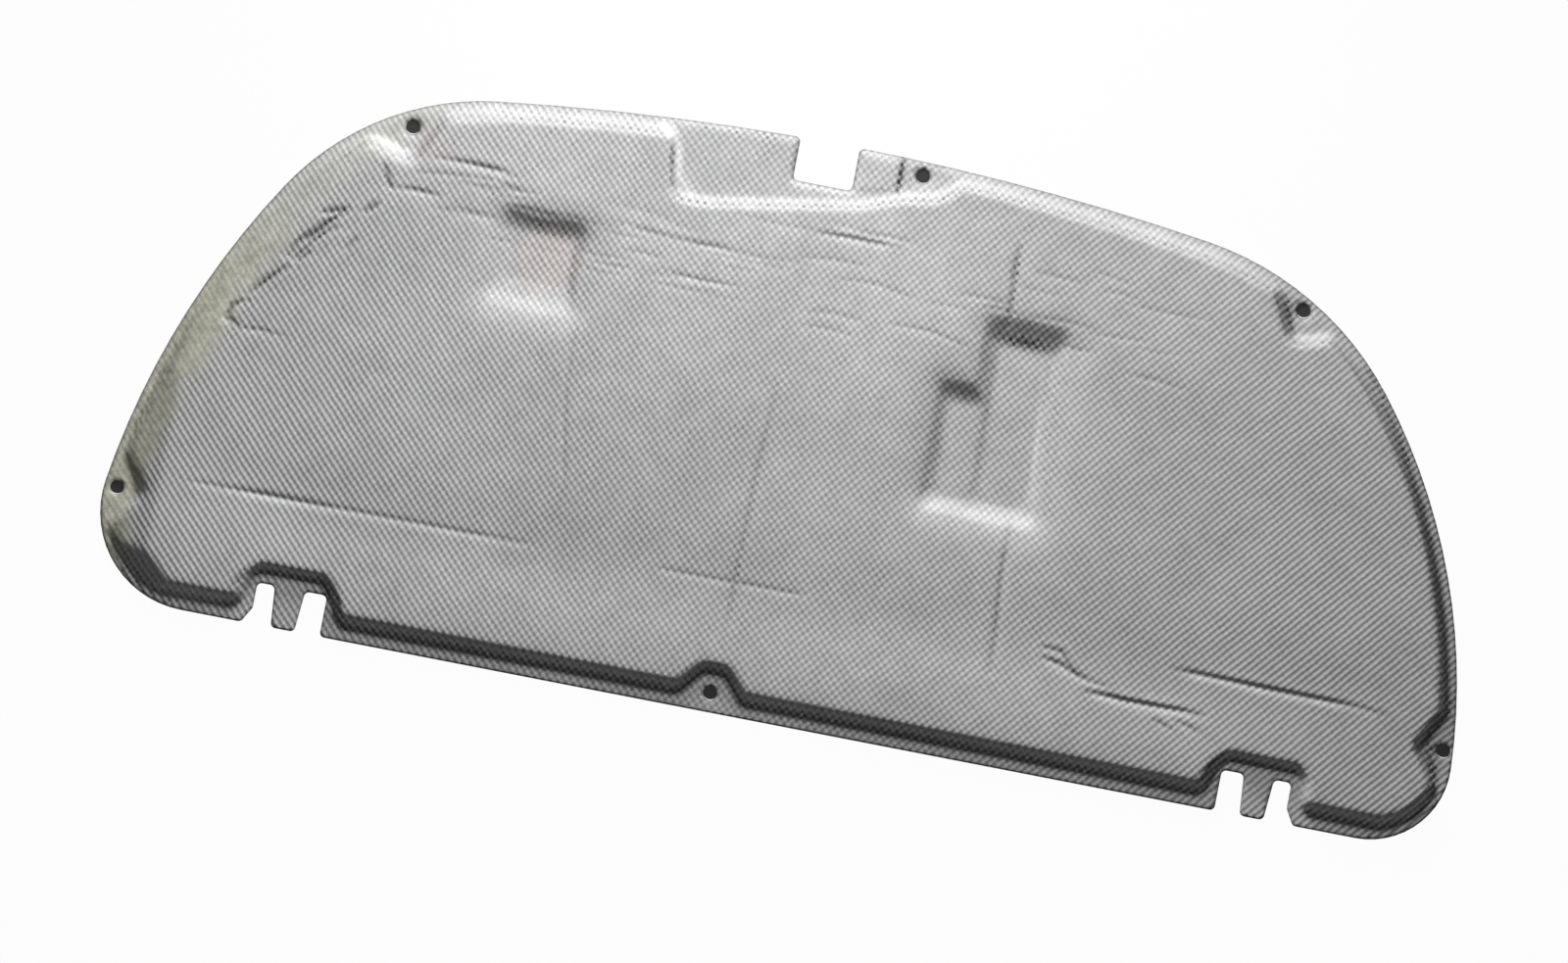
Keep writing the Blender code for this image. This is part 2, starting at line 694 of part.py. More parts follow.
def pockets():
    return [
        soft_pocket("left_pocket", LEFT_POCKET, LEFT_POCKET_RUNS, LEFT_POCKET_DEPTH),
        soft_pocket("short_pocket", SHORT_POCKET, SHORT_POCKET_RUNS, SHORT_POCKET_DEPTH),
        soft_pocket("tall_pocket", TALL_POCKET, TALL_POCKET_RUNS, TALL_POCKET_DEPTH),
    ]


def build_pad():
    """The body is drawn in at its pockets and creases, then joins the drilled rim plate."""
    pad = plan_slab("insulation_pad", rim_outline(), 0, RIM_THICKNESS, parts)
    body = raised_body()
    shelf = front_shelf()
    holes = clip_holes()
    for cutter in pockets() + [crease(name, *sizes) for name, sizes in CREASES.items()]:
        add_boolean(body, cutter, "DIFFERENCE")
    for hole in holes:
        add_boolean(pad, hole, "DIFFERENCE")
    add_boolean(pad, body, "UNION")
    add_boolean(pad, shelf, "UNION")
    pad.data.materials.append(facing_material())
    return pad


clear_scene()
parts = new_collection("hood_insulation_pad")
cutters = new_collection("pad_cutters")
build_pad()
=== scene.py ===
# %% [markdown]
# # A hood insulation pad
# The pad is one piece of moulded felt under a woven, silver-grey facing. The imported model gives
# its outline, holes, pockets and heights. This lesson lays a fine cloth-like skin over those
# forms, adds the creases that moulding and handling left in it, and then paints the weave.

# %% Load the frame
import json
import math
import random

import bmesh
import bpy
import numpy as np
from mathutils import Matrix, Vector, noise
from mathutils.bvhtree import BVHTree


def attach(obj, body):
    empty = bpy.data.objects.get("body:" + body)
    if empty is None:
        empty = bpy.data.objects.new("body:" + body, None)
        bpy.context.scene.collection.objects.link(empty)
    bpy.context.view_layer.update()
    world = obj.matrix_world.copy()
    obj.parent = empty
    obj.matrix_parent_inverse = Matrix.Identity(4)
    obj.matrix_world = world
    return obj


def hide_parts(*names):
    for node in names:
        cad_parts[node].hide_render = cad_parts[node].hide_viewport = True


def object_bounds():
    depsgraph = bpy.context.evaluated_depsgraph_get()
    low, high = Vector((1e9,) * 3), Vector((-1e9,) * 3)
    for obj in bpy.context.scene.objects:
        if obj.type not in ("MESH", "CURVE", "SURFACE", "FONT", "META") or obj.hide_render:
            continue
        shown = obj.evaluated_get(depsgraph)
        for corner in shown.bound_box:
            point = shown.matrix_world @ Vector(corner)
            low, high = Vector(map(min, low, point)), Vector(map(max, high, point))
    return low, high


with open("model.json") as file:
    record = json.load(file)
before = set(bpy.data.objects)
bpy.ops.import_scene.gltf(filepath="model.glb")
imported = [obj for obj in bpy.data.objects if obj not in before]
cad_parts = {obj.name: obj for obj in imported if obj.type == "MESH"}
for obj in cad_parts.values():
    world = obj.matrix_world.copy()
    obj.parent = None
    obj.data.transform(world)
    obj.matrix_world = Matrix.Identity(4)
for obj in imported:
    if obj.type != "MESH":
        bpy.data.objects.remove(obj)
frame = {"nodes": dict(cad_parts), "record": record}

scene = bpy.context.scene
cad_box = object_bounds()
cad_pad = frame["nodes"]["insulation_pad"]
print("CAD box in metres:", cad_box)

# %% [markdown]
# The photograph looks straight down on the pad, turned so that its long side runs 11 degrees
# downhill. A long lens keeps the view flat. One pixel of the picture covers 0.856 mm of the
# pad, so the camera's place follows from the pixel on which the pad's middle falls.

# %% Camera
PHOTO_WIDTH, PHOTO_HEIGHT = 1600, 983
PHOTO_TURN = math.radians(11.0)
METRES_PER_PIXEL = 0.000856
PAD_MIDDLE_PIXEL = (831.1, 445.1)
LENS = 180.0
SENSOR_WIDTH = 36.0
VIEW_END = 50.0

across = (PHOTO_WIDTH / 2 - PAD_MIDDLE_PIXEL[0]) * METRES_PER_PIXEL
down = (PHOTO_HEIGHT / 2 - PAD_MIDDLE_PIXEL[1]) * METRES_PER_PIXEL
cos_turn, sin_turn = math.cos(PHOTO_TURN), math.sin(PHOTO_TURN)
camera = bpy.data.objects.new("camera", bpy.data.cameras.new("camera"))
camera.data.lens = LENS
camera.data.sensor_width = SENSOR_WIDTH
camera.location = (
    across * cos_turn + down * sin_turn,
    across * sin_turn - down * cos_turn,
    PHOTO_WIDTH * METRES_PER_PIXEL * LENS / SENSOR_WIDTH + cad_box[1][2] / 2,
)
camera.rotation_euler = (0, 0, PHOTO_TURN)
camera.data.clip_end = VIEW_END
scene.collection.objects.link(camera)
scene.camera = camera
print("camera at", [round(c, 3) for c in camera.location])

# %% [markdown]
# The photograph has one low lamp beyond the arched edge, near the middle: on the left the walls
# that face right are bright, on the right those that face left. It is split in
# two: one half casts shadows and fades slowly to the rear, and the other, which doesn't fade,
# stands for the light that the room throws back into the shadows. A pale world adds a little.

# %% Light
LAMP_PLACE = Vector((-0.15, 0.86, 0.46))
LAMP_AIM = Vector((-0.06, 0.05, 0.0))
LAMP_SIZE = 0.45
SHADOW_LAMP_POWER = 9.6
FILL_LAMP_POWER = 12.2
WORLD_STRENGTH = 0.07


def add_lamp(name, power, shadows, fading):
    """A round soft lamp; fading names how its light weakens with distance."""
    data = bpy.data.lights.new(name, "AREA")
    data.shape = "DISK"
    data.size = LAMP_SIZE
    data.energy = power
    data.use_shadow = shadows
    data.use_nodes = True
    falloff = data.node_tree.nodes.new("ShaderNodeLightFalloff")
    falloff.inputs["Strength"].default_value = 1.0
    strength = data.node_tree.nodes["Emission"].inputs["Strength"]
    data.node_tree.links.new(falloff.outputs[fading], strength)
    lamp = bpy.data.objects.new(name, data)
    lamp.location = LAMP_PLACE
    lamp.rotation_euler = (LAMP_PLACE - LAMP_AIM).to_track_quat("Z", "Y").to_euler()
    scene.collection.objects.link(lamp)
    return lamp


add_lamp("shadow_lamp", SHADOW_LAMP_POWER, True, "Linear")
add_lamp("fill_lamp", FILL_LAMP_POWER, False, "Constant")
scene.view_settings.view_transform = "Standard"

world = bpy.data.worlds.new("studio")
scene.world = world
world.use_nodes = True


def give(tree, socket, value):
    """Feeds a socket from another socket, or sets it to a plain value."""
    if isinstance(value, bpy.types.NodeSocket):
        tree.links.new(value, socket)
    elif value is not None:
        socket.default_value = value


def sum_node(tree, operation, a, b=None, clamp=False):
    """A Math node; each operand is a socket or a number."""
    node = tree.nodes.new("ShaderNodeMath")
    node.operation = operation
    node.use_clamp = clamp
    give(tree, node.inputs[0], a)
    give(tree, node.inputs[1], b)
    return node.outputs[0]


def seen_directly(tree):
    """1 where a ray comes from the camera, a gloss or a transmission, as a node socket."""
    path = tree.nodes.new("ShaderNodeLightPath")
    total = path.outputs["Is Camera Ray"]
    for name in ("Is Glossy Ray", "Is Transmission Ray"):
        total = sum_node(tree, "ADD", total, path.outputs[name], clamp=True)
    return total


def light_world():
    """White where it is seen, and a weak light everywhere else."""
    tree = world.node_tree
    tree.nodes.clear()
    output = tree.nodes.new("ShaderNodeOutputWorld")
    fill = tree.nodes.new("ShaderNodeBackground")
    fill.inputs["Strength"].default_value = WORLD_STRENGTH
    white = tree.nodes.new("ShaderNodeBackground")
    mix = tree.nodes.new("ShaderNodeMixShader")
    for background in (fill, white):
        background.inputs["Color"].default_value = (1, 1, 1, 1)
    tree.links.new(seen_directly(tree), mix.inputs[0])
    tree.links.new(fill.outputs[0], mix.inputs[1])
    tree.links.new(white.outputs[0], mix.inputs[2])
    tree.links.new(mix.outputs[0], output.inputs[0])


light_world()
print("lamps:", SHADOW_LAMP_POWER, "with shadows,", FILL_LAMP_POWER, "without")

# %% [markdown]
# The floor is a plain pale sheet. It glows a little for the camera, so that it reads white as in
# the photograph and still keeps the pad's soft shadow. A grid of one face is all it needs.

# %% Floor
FLOOR_SIZE = 6.0
FLOOR_DROP = 0.0008
FLOOR_GLOW = 0.96
FLOOR_COLOUR = (0.60, 0.60, 0.60, 1)
FLOOR_ROUGHNESS = 0.9


def plain_material(name, colour, roughness):
    material = bpy.data.materials.new(name)
    material.use_nodes = True
    shader = material.node_tree.nodes["Principled BSDF"]
    shader.inputs["Base Color"].default_value = colour
    shader.inputs["Roughness"].default_value = roughness
    return material


def floor_material():
    """Pale, and glowing where it is seen directly."""
    material = plain_material("pale_floor", FLOOR_COLOUR, FLOOR_ROUGHNESS)
    tree = material.node_tree
    glow = tree.nodes.new("ShaderNodeEmission")
    mix = tree.nodes.new("ShaderNodeMixShader")
    share = sum_node(tree, "MULTIPLY", seen_directly(tree), FLOOR_GLOW)
    tree.links.new(share, mix.inputs[0])
    tree.links.new(tree.nodes["Principled BSDF"].outputs[0], mix.inputs[1])
    tree.links.new(glow.outputs[0], mix.inputs[2])
    tree.links.new(mix.outputs[0], tree.nodes["Material Output"].inputs[0])
    return material


def object_from(shape, name, material):
    """Turns a finished bmesh into an object of the scene."""
    mesh = bpy.data.meshes.new(name)
    shape.to_mesh(mesh)
    shape.free()
    mesh.materials.append(material)
    item = bpy.data.objects.new(name, mesh)
    scene.collection.objects.link(item)
    return item


floor_shape = bmesh.new()
bmesh.ops.create_grid(
    floor_shape, x_segments=1, y_segments=1, size=FLOOR_SIZE / 2,
    matrix=Matrix.Translation((0, 0, -FLOOR_DROP)),
)
floor = object_from(floor_shape, "floor", floor_material())
print("floor", FLOOR_SIZE, "m wide,", FLOOR_DROP, "m under the pad")

# %% [markdown]
# The skin starts as a flat blank with a fine grid on top. A cutter made from the flat back of
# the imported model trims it, so that the outline, the slots and the clip holes are exact. Drawing
# the outline again by hand would only bring errors.

# %% Trim a fine blank to the outline
GRID_PITCH = 0.0030
GRID_MARGIN = 0.004
BLANK_BOTTOM = 0.0
BLANK_TOP = 0.0030
CUT_OVERRUN = 0.01
CUT_HEIGHT = 0.04
WELD = 0.00001
FLAT_NORMAL = 0.999


def packed_surface():
    """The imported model's mesh with its loose triangles joined."""
    shape = bmesh.new()
    shape.from_mesh(cad_pad.data)
    bmesh.ops.remove_doubles(shape, verts=shape.verts, dist=WELD)
    shape.normal_update()
    return shape


def outline_cutter(surface):
    """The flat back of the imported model, drawn out into a tall prism."""
    shape = surface.copy()
    rest = [face for face in shape.faces
            if face.normal.z > -FLAT_NORMAL or face.calc_center_median().z > WELD]
    bmesh.ops.delete(shape, geom=rest, context="FACES")
    bmesh.ops.translate(shape, verts=shape.verts, vec=(0, 0, -CUT_OVERRUN))
    drawn = bmesh.ops.extrude_face_region(shape, geom=shape.faces[:], use_keep_orig=True)
    top = [item for item in drawn["geom"] if isinstance(item, bmesh.types.BMVert)]
    bmesh.ops.translate(shape, verts=top, vec=(0, 0, CUT_HEIGHT))
    bmesh.ops.recalc_face_normals(shape, faces=shape.faces)
    return shape


def fine_blank():
    """A flat plate with a fine grid on its top and one face under it."""
    low, high = Vector(cad_box[0]), Vector(cad_box[1])
    width, depth = high.x - low.x + 2 * GRID_MARGIN, high.y - low.y + 2 * GRID_MARGIN
    middle = Matrix.Translation(((low.x + high.x) / 2, (low.y + high.y) / 2, BLANK_TOP))
    shape = bmesh.new()
    bmesh.ops.create_grid(
        shape, x_segments=math.ceil(width / GRID_PITCH), y_segments=math.ceil(depth / GRID_PITCH),
        size=0.5, matrix=middle @ Matrix.Diagonal((width, depth, 1, 1)),
    )
    border = [edge for edge in shape.edges if edge.is_boundary]
    drawn = bmesh.ops.extrude_edge_only(shape, edges=border)
    lower = [item for item in drawn["geom"] if isinstance(item, bmesh.types.BMVert)]
    bmesh.ops.translate(shape, verts=lower, vec=(0, 0, BLANK_BOTTOM - BLANK_TOP))
    loop = [item for item in drawn["geom"] if isinstance(item, bmesh.types.BMEdge)
            and item.is_boundary]
    bmesh.ops.contextual_create(shape, geom=loop)
    bmesh.ops.recalc_face_normals(shape, faces=shape.faces)
    return shape


def trimmed(blank_shape, cutter_shape):
    """The part of the blank inside the cutter, as a new bmesh."""
    blank = object_from(blank_shape, "blank", None)
    cutter = object_from(cutter_shape, "outline_cutter", None)
    trim = blank.modifiers.new("trim", "BOOLEAN")
    trim.operation = "INTERSECT"
    trim.solver = "MANIFOLD"
    trim.object = cutter
    graph = bpy.context.evaluated_depsgraph_get()
    graph.update()
    shape = bmesh.new()
    shape.from_mesh(bpy.data.meshes.new_from_object(blank.evaluated_get(graph)))
    for item in (blank, cutter):
        bpy.data.objects.remove(item, do_unlink=True)
    return shape


surface = packed_surface()
skin = trimmed(fine_blank(), outline_cutter(surface))
print("trimmed blank:", len(skin.faces), "faces")

# %% [markdown]
# Creases and wrinkles are short routes with a width, a depth and the height of the ridge beside them.
# Moulding pressed the long straight ones in, and handling made the short ones, most of them on the left
# flank and near the arched edge. Shallow valleys along routes follow the photograph more closely than a
# cloth simulation would, and come out the same each run.

# %% Creases and wrinkles
# name: (points, width, depth, ridge), in metres. The ridge stands on the left of the route. A
# depth below zero part-fills a crease that the imported model has.
WRINKLES = {
    "left_fold": (((-0.2240, 0.070), (-0.221, 0.0), (-0.2037, -0.1044)), 0.0022, 0.0006, 0.0001),
    "middle_fold": (((-0.040, 0.045), (-0.0419, -0.0068), (-0.0437, -0.2150)), 0.0024, 0.0008, 0.0),
    "right_fold": (((0.1826, -0.0379), (0.1834, -0.0832), (0.1924, -0.1777)), 0.0024, 0.0010, 0.0),
    "upper_fold": (((0.1442, 0.1990), (0.1461, 0.1601), (0.1479, 0.1240)), 0.0026, 0.0017, 0.0),
    "rear_left": (((-0.530, -0.1430), (-0.47, -0.1425), (-0.40, -0.1425)), 0.0026, 0.0008, 0.0001),
    "rear_right": (((0.3429, -0.1404), (0.4289, -0.1418), (0.5118, -0.1423), (0.5389, -0.1445)),
                   0.0024, 0.0010, 0.0004),
    "rear_a": (((0.2283, -0.1426), (0.2474, -0.1443), (0.2612, -0.1603), (0.2728, -0.1647)),
               0.0024, 0.0012, 0.0004),
    "rear_b": (((0.2301, -0.1516), (0.2494, -0.1546), (0.2615, -0.1616)), 0.0022, 0.0008, 0.0003),
    "rear_c": (((0.2717, -0.1730), (0.3069, -0.1755), (0.3818, -0.1756)), 0.0024, 0.0012, 0.0005),
    "rear_d": (((0.3360, -0.1860), (0.3550, -0.1930)), 0.0022, 0.0008, 0.0003),
    "rear_e": (((0.3560, -0.1835), (0.3790, -0.1905)), 0.0022, 0.0008, 0.0003),
    "flank_a": (((-0.4357, 0.1195), (-0.4584, 0.0949), (-0.4751, 0.0794), (-0.4844, 0.0641)),
                0.0030, 0.0024, 0.0010),
    "flank_b": (((-0.4425, 0.1017), (-0.4637, 0.0841), (-0.4778, 0.0617)), 0.0030, 0.0022, 0.0010),
    "flank_c": (((-0.4404, 0.1161), (-0.4610, 0.1080)), 0.0026, 0.0018, 0.0006),
    "flank_d": (((-0.4784, 0.0586), (-0.4951, 0.0431), (-0.5111, 0.0245)), 0.0028, 0.0022, 0.0010),
    "flank_e": (((-0.4618, 0.0746), (-0.4741, 0.0619)), 0.0024, 0.0016, 0.0006),
    "flank_f": (((-0.4107, 0.1276), (-0.4250, 0.1150)), 0.0026, 0.0016, 0.0005),
    "flank_g": (((-0.4239, 0.0943), (-0.4333, 0.0797)), 0.0024, 0.0012, 0.0005),
    "flank_h": (((-0.4149, 0.1620), (-0.4040, 0.1396)), 0.0026, 0.0014, 0.0004),
    "flank_hook": (((-0.5061, 0.0242), (-0.5214, 0.0144), (-0.5238, 0.0036), (-0.5110, -0.0013)),
                   0.0026, 0.0018, 0.0006),
    "flank_line": (((-0.5200, -0.0035), (-0.4912, -0.0020), (-0.4688, -0.0034)), 0.0022, 0.0006, 0.0002),
    "front_a": (((-0.3560, 0.1751), (-0.3315, 0.1757), (-0.2971, 0.1715)), 0.0024, 0.0006, 0.0005),
    "front_b": (((-0.4087, 0.1427), (-0.3843, 0.1438), (-0.3593, 0.1413)), 0.0024, 0.0006, 0.0004),
    "front_c": (((-0.0355, 0.1721), (-0.0054, 0.1751), (0.0448, 0.1751)), 0.0024, 0.0005, 0.0004),
    "front_d": (((-0.1953, 0.1472), (-0.1448, 0.1458), (-0.1113, 0.1459)), 0.0026, -0.0003, 0.0005),
    "front_e": (((-0.3897, 0.1587), (-0.3537, 0.1632), (-0.3124, 0.1656)), 0.0022, 0.0006, 0.0001),
    "front_f": (((-0.3121, 0.1640), (-0.2891, 0.1598)), 0.0024, 0.0007, 0.0003),
    "front_g": (((0.2115, 0.1879), (0.2457, 0.1825)), 0.0020, 0.0004, 0.0),
    "front_h": (((0.2369, 0.1657), (0.2735, 0.1637), (0.3217, 0.1641)), 0.0020, 0.0004, 0.0),
    "relief_side": (((-0.1700, 0.2340), (-0.1650, 0.2020)), 0.0022, 0.0012, 0.0),
}
FINE_WRINKLES = 46
FINE_FIELD = ((-0.345, 0.090), (0.300, 0.190))
FINE_LENGTH = (0.025, 0.085)
FINE_WIDTH = (0.0018, 0.0026)
FINE_DEPTH = (0.0002, 0.0006)
FINE_TILT = math.radians(5.0)
FINE_BOW = 0.12
# Share of the usual painted shade that the fine wrinkles hold
FINE_SHADE = 0.6
DRAW = random.Random(7)
# These moulded creases hold less painted shade: the share of the usual amount that each holds.
CREASE_SHADE_SHARES = {"rear_left": 0.1, "left_fold": 0.7, "front_a": 0.6, "front_b": 0.6, "front_c": 0.8,
                 "front_d": 0.0, "front_e": 0.3}


def fine_wrinkles():
    """Short faint wrinkles, nearly parallel, over the field behind the arched edge."""
    found = []
    (left, rear), (right, front) = FINE_FIELD
    for _ in range(FINE_WRINKLES):
        x = DRAW.uniform(left, right)
        y = DRAW.uniform(rear, front)
        half = DRAW.uniform(*FINE_LENGTH) / 2
        tilt = DRAW.gauss(-FINE_TILT / 3, FINE_TILT / 2)
        reach = Vector((math.cos(tilt), math.sin(tilt))) * half
        middle = Vector((x, y))
        bow = Vector((-reach.y, reach.x)) * DRAW.uniform(-FINE_BOW, FINE_BOW)
        route = (middle - reach, middle + bow, middle + reach)
        found.append((route, DRAW.uniform(*FINE_WIDTH), DRAW.uniform(*FINE_DEPTH), 0.0))
    return found


creases = [(tuple(Vector(spot) for spot in route), *sizes, CREASE_SHADE_SHARES.get(name, 1.0))
           for name, (route, *sizes) in WRINKLES.items()]
creases += [(*crease, FINE_SHADE) for crease in fine_wrinkles()]
print("creases and wrinkles:", len(creases))

# %% [markdown]
# Each crease is turned into heights by measuring how far every point of the skin lies from its
# route. A valley and a bank beside it, both bell-shaped, add up to the section of a fold in felt.

# %% Measure along a route
BANK_PLACE = 1.8


def along_route(points, route):
    """For each point: its signed distance from the route and its share of the route's length."""
    lengths = [(b - a).length for a, b in zip(route, route[1:])]
    total = sum(lengths)
    best = np.full(len(points), np.inf)
    signed = np.zeros(len(points))
    share = np.zeros(len(points))
    passed = 0.0
    for start, end, length in zip(route, route[1:], lengths):
        way = np.array((end - start) / length)
        gap = points - np.array(start)
        run = np.clip(gap @ way, 0, length)
        off = gap - run[:, None] * way
        distance = np.hypot(off[:, 0], off[:, 1])
        nearer = distance < best
        side = np.sign(way[0] * gap[:, 1] - way[1] * gap[:, 0])
        best = np.where(nearer, distance, best)
        signed = np.where(nearer, distance * side, signed)
        share = np.where(nearer, (passed + run) / total, share)
        passed += length
    return signed, share


def bell(signed, width):
    """1 on a line, falling to nothing about two widths away."""
    return np.exp(-(signed / width) ** 2)


def end_fade(share, start=0.0, end=1.0):
    """Full strength in the middle of a line and weaker towards its ends."""
    return np.sin(np.pi * np.clip(share, start, end)) ** 0.5


def crease_relief(points):
    """Height that the creases add at each point, and how much shade is painted in them there."""
    relief = np.zeros(len(points))
    painted_shade = np.zeros(len(points))
    for route, width, depth, ridge, shade_share in creases:
        signed, share = along_route(points, route)
        fade = end_fade(share)
        valley = bell(signed, width) * fade
        bank = bell(signed - BANK_PLACE * width, width) * fade
        relief += ridge * bank - depth * valley
        # A crease's valley is also painted darker, as shade in its hollow.
        painted_shade = np.maximum(painted_shade, valley * depth * shade_share)
    return relief, painted_shade


print("longest crease has", max(len(route) for route, *_ in creases), "points")

# %% [markdown]
# Shade is painted along the foot of walls and steps, and highlights along a few edges. Both are lines
# with a width and an amount. Painted shade is counted in metres, as if it filled a crease of that depth,
# so that one scale serves creases, walls and lines alike.

# %% Lines of painted shade and highlight
# Lines of painted shade at the foot of a wall or a step: (points, width, amount)
FOOT_LINES = (
    (((0.0300, 0.2535), (0.0305, 0.2235)), 0.0024, 0.0042),
    (((-0.0080, 0.2180), (0.0300, 0.2250)), 0.0018, 0.0014),
    (((0.3800, 0.1990), (0.3860, 0.1850), (0.3925, 0.1700)), 0.0030, 0.0032),
    (((-0.1560, 0.2470), (-0.0620, 0.2515)), 0.0016, 0.0010),
    (((0.1400, 0.1155), (0.1900, 0.1155)), 0.0052, 0.0034),
    (((0.1050, 0.0590), (0.1450, 0.0590)), 0.0070, 0.0009),
    (((-0.2980, 0.1340), (-0.2300, 0.1340)), 0.0070, 0.0010),
    (((-0.2370, 0.1280), (-0.2345, 0.0830)), 0.0026, 0.0013),
    (((0.1350, 0.1310), (0.1700, 0.1310)), 0.0110, 0.0008),
    (((0.1390, 0.1100), (0.1436, 0.0411), (0.1467, -0.0193)), 0.0040, 0.0010),
    (((0.1026, 0.0560), (0.1101, -0.0221)), 0.0045, 0.0009),
    (((0.2000, 0.0950), (0.2090, -0.0200)), 0.0080, 0.0006),
    (((-0.5920, -0.1800), (-0.5830, -0.2080), (-0.5690, -0.2300), (-0.5450, -0.2450),
      (-0.5050, -0.2480)), 0.0090, 0.0015),
    (((0.5905, -0.1230), (0.5750, -0.1560)), 0.0042, 0.0042),
    (((0.5770, -0.1640), (0.5920, -0.1655)), 0.0030, 0.0034),
    (((0.5780, -0.1650), (0.5880, -0.1890), (0.5860, -0.2030)), 0.0042, 0.0038),
    (((-0.4740, -0.2240), (-0.4640, -0.2090)), 0.0030, 0.0022),
    (((-0.3960, -0.2060), (-0.3800, -0.2250), (-0.3740, -0.2400)), 0.0038, 0.0034),
    (((0.4000, -0.2060), (0.3860, -0.2300)), 0.0038, 0.0034),
)
# Painted highlights along an edge: (points, width, amount)
HIGHLIGHT_LINES = (
    (((-0.1830, 0.2430), (-0.1645, 0.2260), (-0.1595, 0.2000), (-0.1450, 0.1870)), 0.0034, 0.0024),
    (((-0.4250, 0.1880), (-0.4020, 0.1720)), 0.0060, 0.0014),
    (((0.1851, 0.0971), (0.1966, -0.0184)), 0.0022, 0.0010),
)
RIGHT_ARC_CENTRE = Vector((-0.0538, -0.2435))
RIGHT_FOOT_RADIUS = 0.6505
RIGHT_FOOT_ANGLES = (37.0, 9.5)
RIGHT_FOOT_SPOTS = 12
RIGHT_FOOT_SIZES = (0.0042, 0.0032)
LINE_ENDS = (0.08, 0.92)


def right_foot():
    """The foot of the right-hand wall, an arc that bends down to the right clip land."""
    start, end = (math.radians(angle) for angle in RIGHT_FOOT_ANGLES)
    turns = [start + (end - start) * k / RIGHT_FOOT_SPOTS for k in range(RIGHT_FOOT_SPOTS + 1)]
    return tuple(RIGHT_ARC_CENTRE + RIGHT_FOOT_RADIUS * Vector((math.cos(t), math.sin(t)))
                 for t in turns)


def along_lines(points, lines):
    """The strongest of the lines at each point."""
    found = np.zeros(len(points))
    for route, width, amount in lines:
        signed, share = along_route(points, tuple(Vector(spot) for spot in route))
        found = np.maximum(found, amount * bell(signed, width) * end_fade(share, *LINE_ENDS))
    return found


def painted_foot_shade(points):
    """Shade painted along the foot lines, less the highlights painted along the pale ones."""
    dark = along_lines(points, FOOT_LINES + ((right_foot(), *RIGHT_FOOT_SIZES),))
    return dark - along_lines(points, HIGHLIGHT_LINES)


print("soil lines:", len(FOOT_LINES) + 1, "pale lines:", len(HIGHLIGHT_LINES))

# %% [markdown]
# The grid is coarse where the pad is plain. It is divided again near walls, creases and the
# outline, which is where the light shows each step. That keeps the piece under 200,000
# triangles.

# %% Divide the skin where the form is tight
STEEP_STEP = 0.00022
CREASE_REACH = 0.0042
RAY_START = 0.1
NUDGE = 0.00025
# Where a corner of a notch's wall stands closer to its slots: (corner, shift)
NOTCH_PULLS = (
    ((-0.4600, -0.2060), 0.008), ((-0.3900, -0.2060), -0.012),
    ((0.4020, -0.2040), 0.010), ((0.4750, -0.2050), -0.005),
)
NOTCH_PULL_REACH = (0.026, 0.020)

packed_tree = BVHTree.FromBMesh(surface)


def height_at(x, y):
    """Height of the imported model's top over a point of the plan, or the rim's where none is."""
    for shift in ((0, 0), (NUDGE, 0), (-NUDGE, 0), (0, NUDGE), (0, -NUDGE)):
        spot, *_ = packed_tree.ray_cast(Vector((x + shift[0], y + shift[1], RAY_START)), (0, 0, -1))
        if spot is not None and spot.z > NUDGE:
            return spot.z
    return BLANK_TOP


def top_points(shape):
    return [point for point in shape.verts if point.co.z > BLANK_TOP - WELD]


def plan_of(points):
    return np.array([point.co[:2] for point in points])


def pulled(plan):
    """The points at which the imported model's heights are read."""
    found = plan.copy()
    for corner, shift in NOTCH_PULLS:
        gap = (plan - np.array(corner)) / np.array(NOTCH_PULL_REACH)
        found[:, 0] -= shift * np.exp(-(gap ** 2).sum(1))
    return found


def edges_to_divide(shape):
    """Edges that lie on the top and cross a wall, a crease or the outline."""
    points = top_points(shape)
    plan = plan_of(points)
    heights = {point: height_at(x, y) for point, (x, y) in zip(points, pulled(plan))}
    near = np.zeros(len(points), bool)
    for route, *_ in creases:
        signed, _ = along_route(plan, route)
        near |= np.abs(signed) < CREASE_REACH
    close = {point for point, flag in zip(points, near) if flag}
    chosen = []
    for edge in shape.edges:
        a, b = edge.verts
        if a not in heights or b not in heights:
            continue
        steep = abs(heights[a] - heights[b]) > STEEP_STEP
        at_outline = any(len(face.verts) > 4 or abs(face.normal.z) < FLAT_NORMAL
                         for point in edge.verts for face in point.link_faces)
        if steep or at_outline or (a in close and b in close):
            chosen.append(edge)
    return chosen


skin.normal_update()
bmesh.ops.subdivide_edges(skin, edges=edges_to_divide(skin), cuts=1, use_grid_fill=True)
triangles = sum(len(face.verts) - 2 for face in skin.faces)
print("divided skin:", len(skin.faces), "faces,", triangles, "triangles")

# %% [markdown]
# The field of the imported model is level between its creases. Felt isn't: a slow swell runs over
# it, it falls to the front, it has a valley near the rear with a rise beyond it, and it sags round
# the pockets. These forms are a few millimetres over a hand's breadth, so they are added here.

# %% Slow forms
SWELL = 0.0005
SWELL_LENGTH = 0.11
SECOND_SWELL, SECOND_SWELL_SCALE = 0.5, 2.3
FRONT_FALL = 0.0028
FRONT_FALL_START, FRONT_FALL_END = 0.09, 0.235
REAR_VALLEY = 0.0013
REAR_VALLEY_Y = -0.1420
REAR_VALLEY_WIDTH = 0.036
REAR_RISE = 0.0022
REAR_RISE_START, REAR_RISE_END = 0.150, 0.225
REAR_FORMS_END, REAR_FORMS_START = -0.57, -0.45
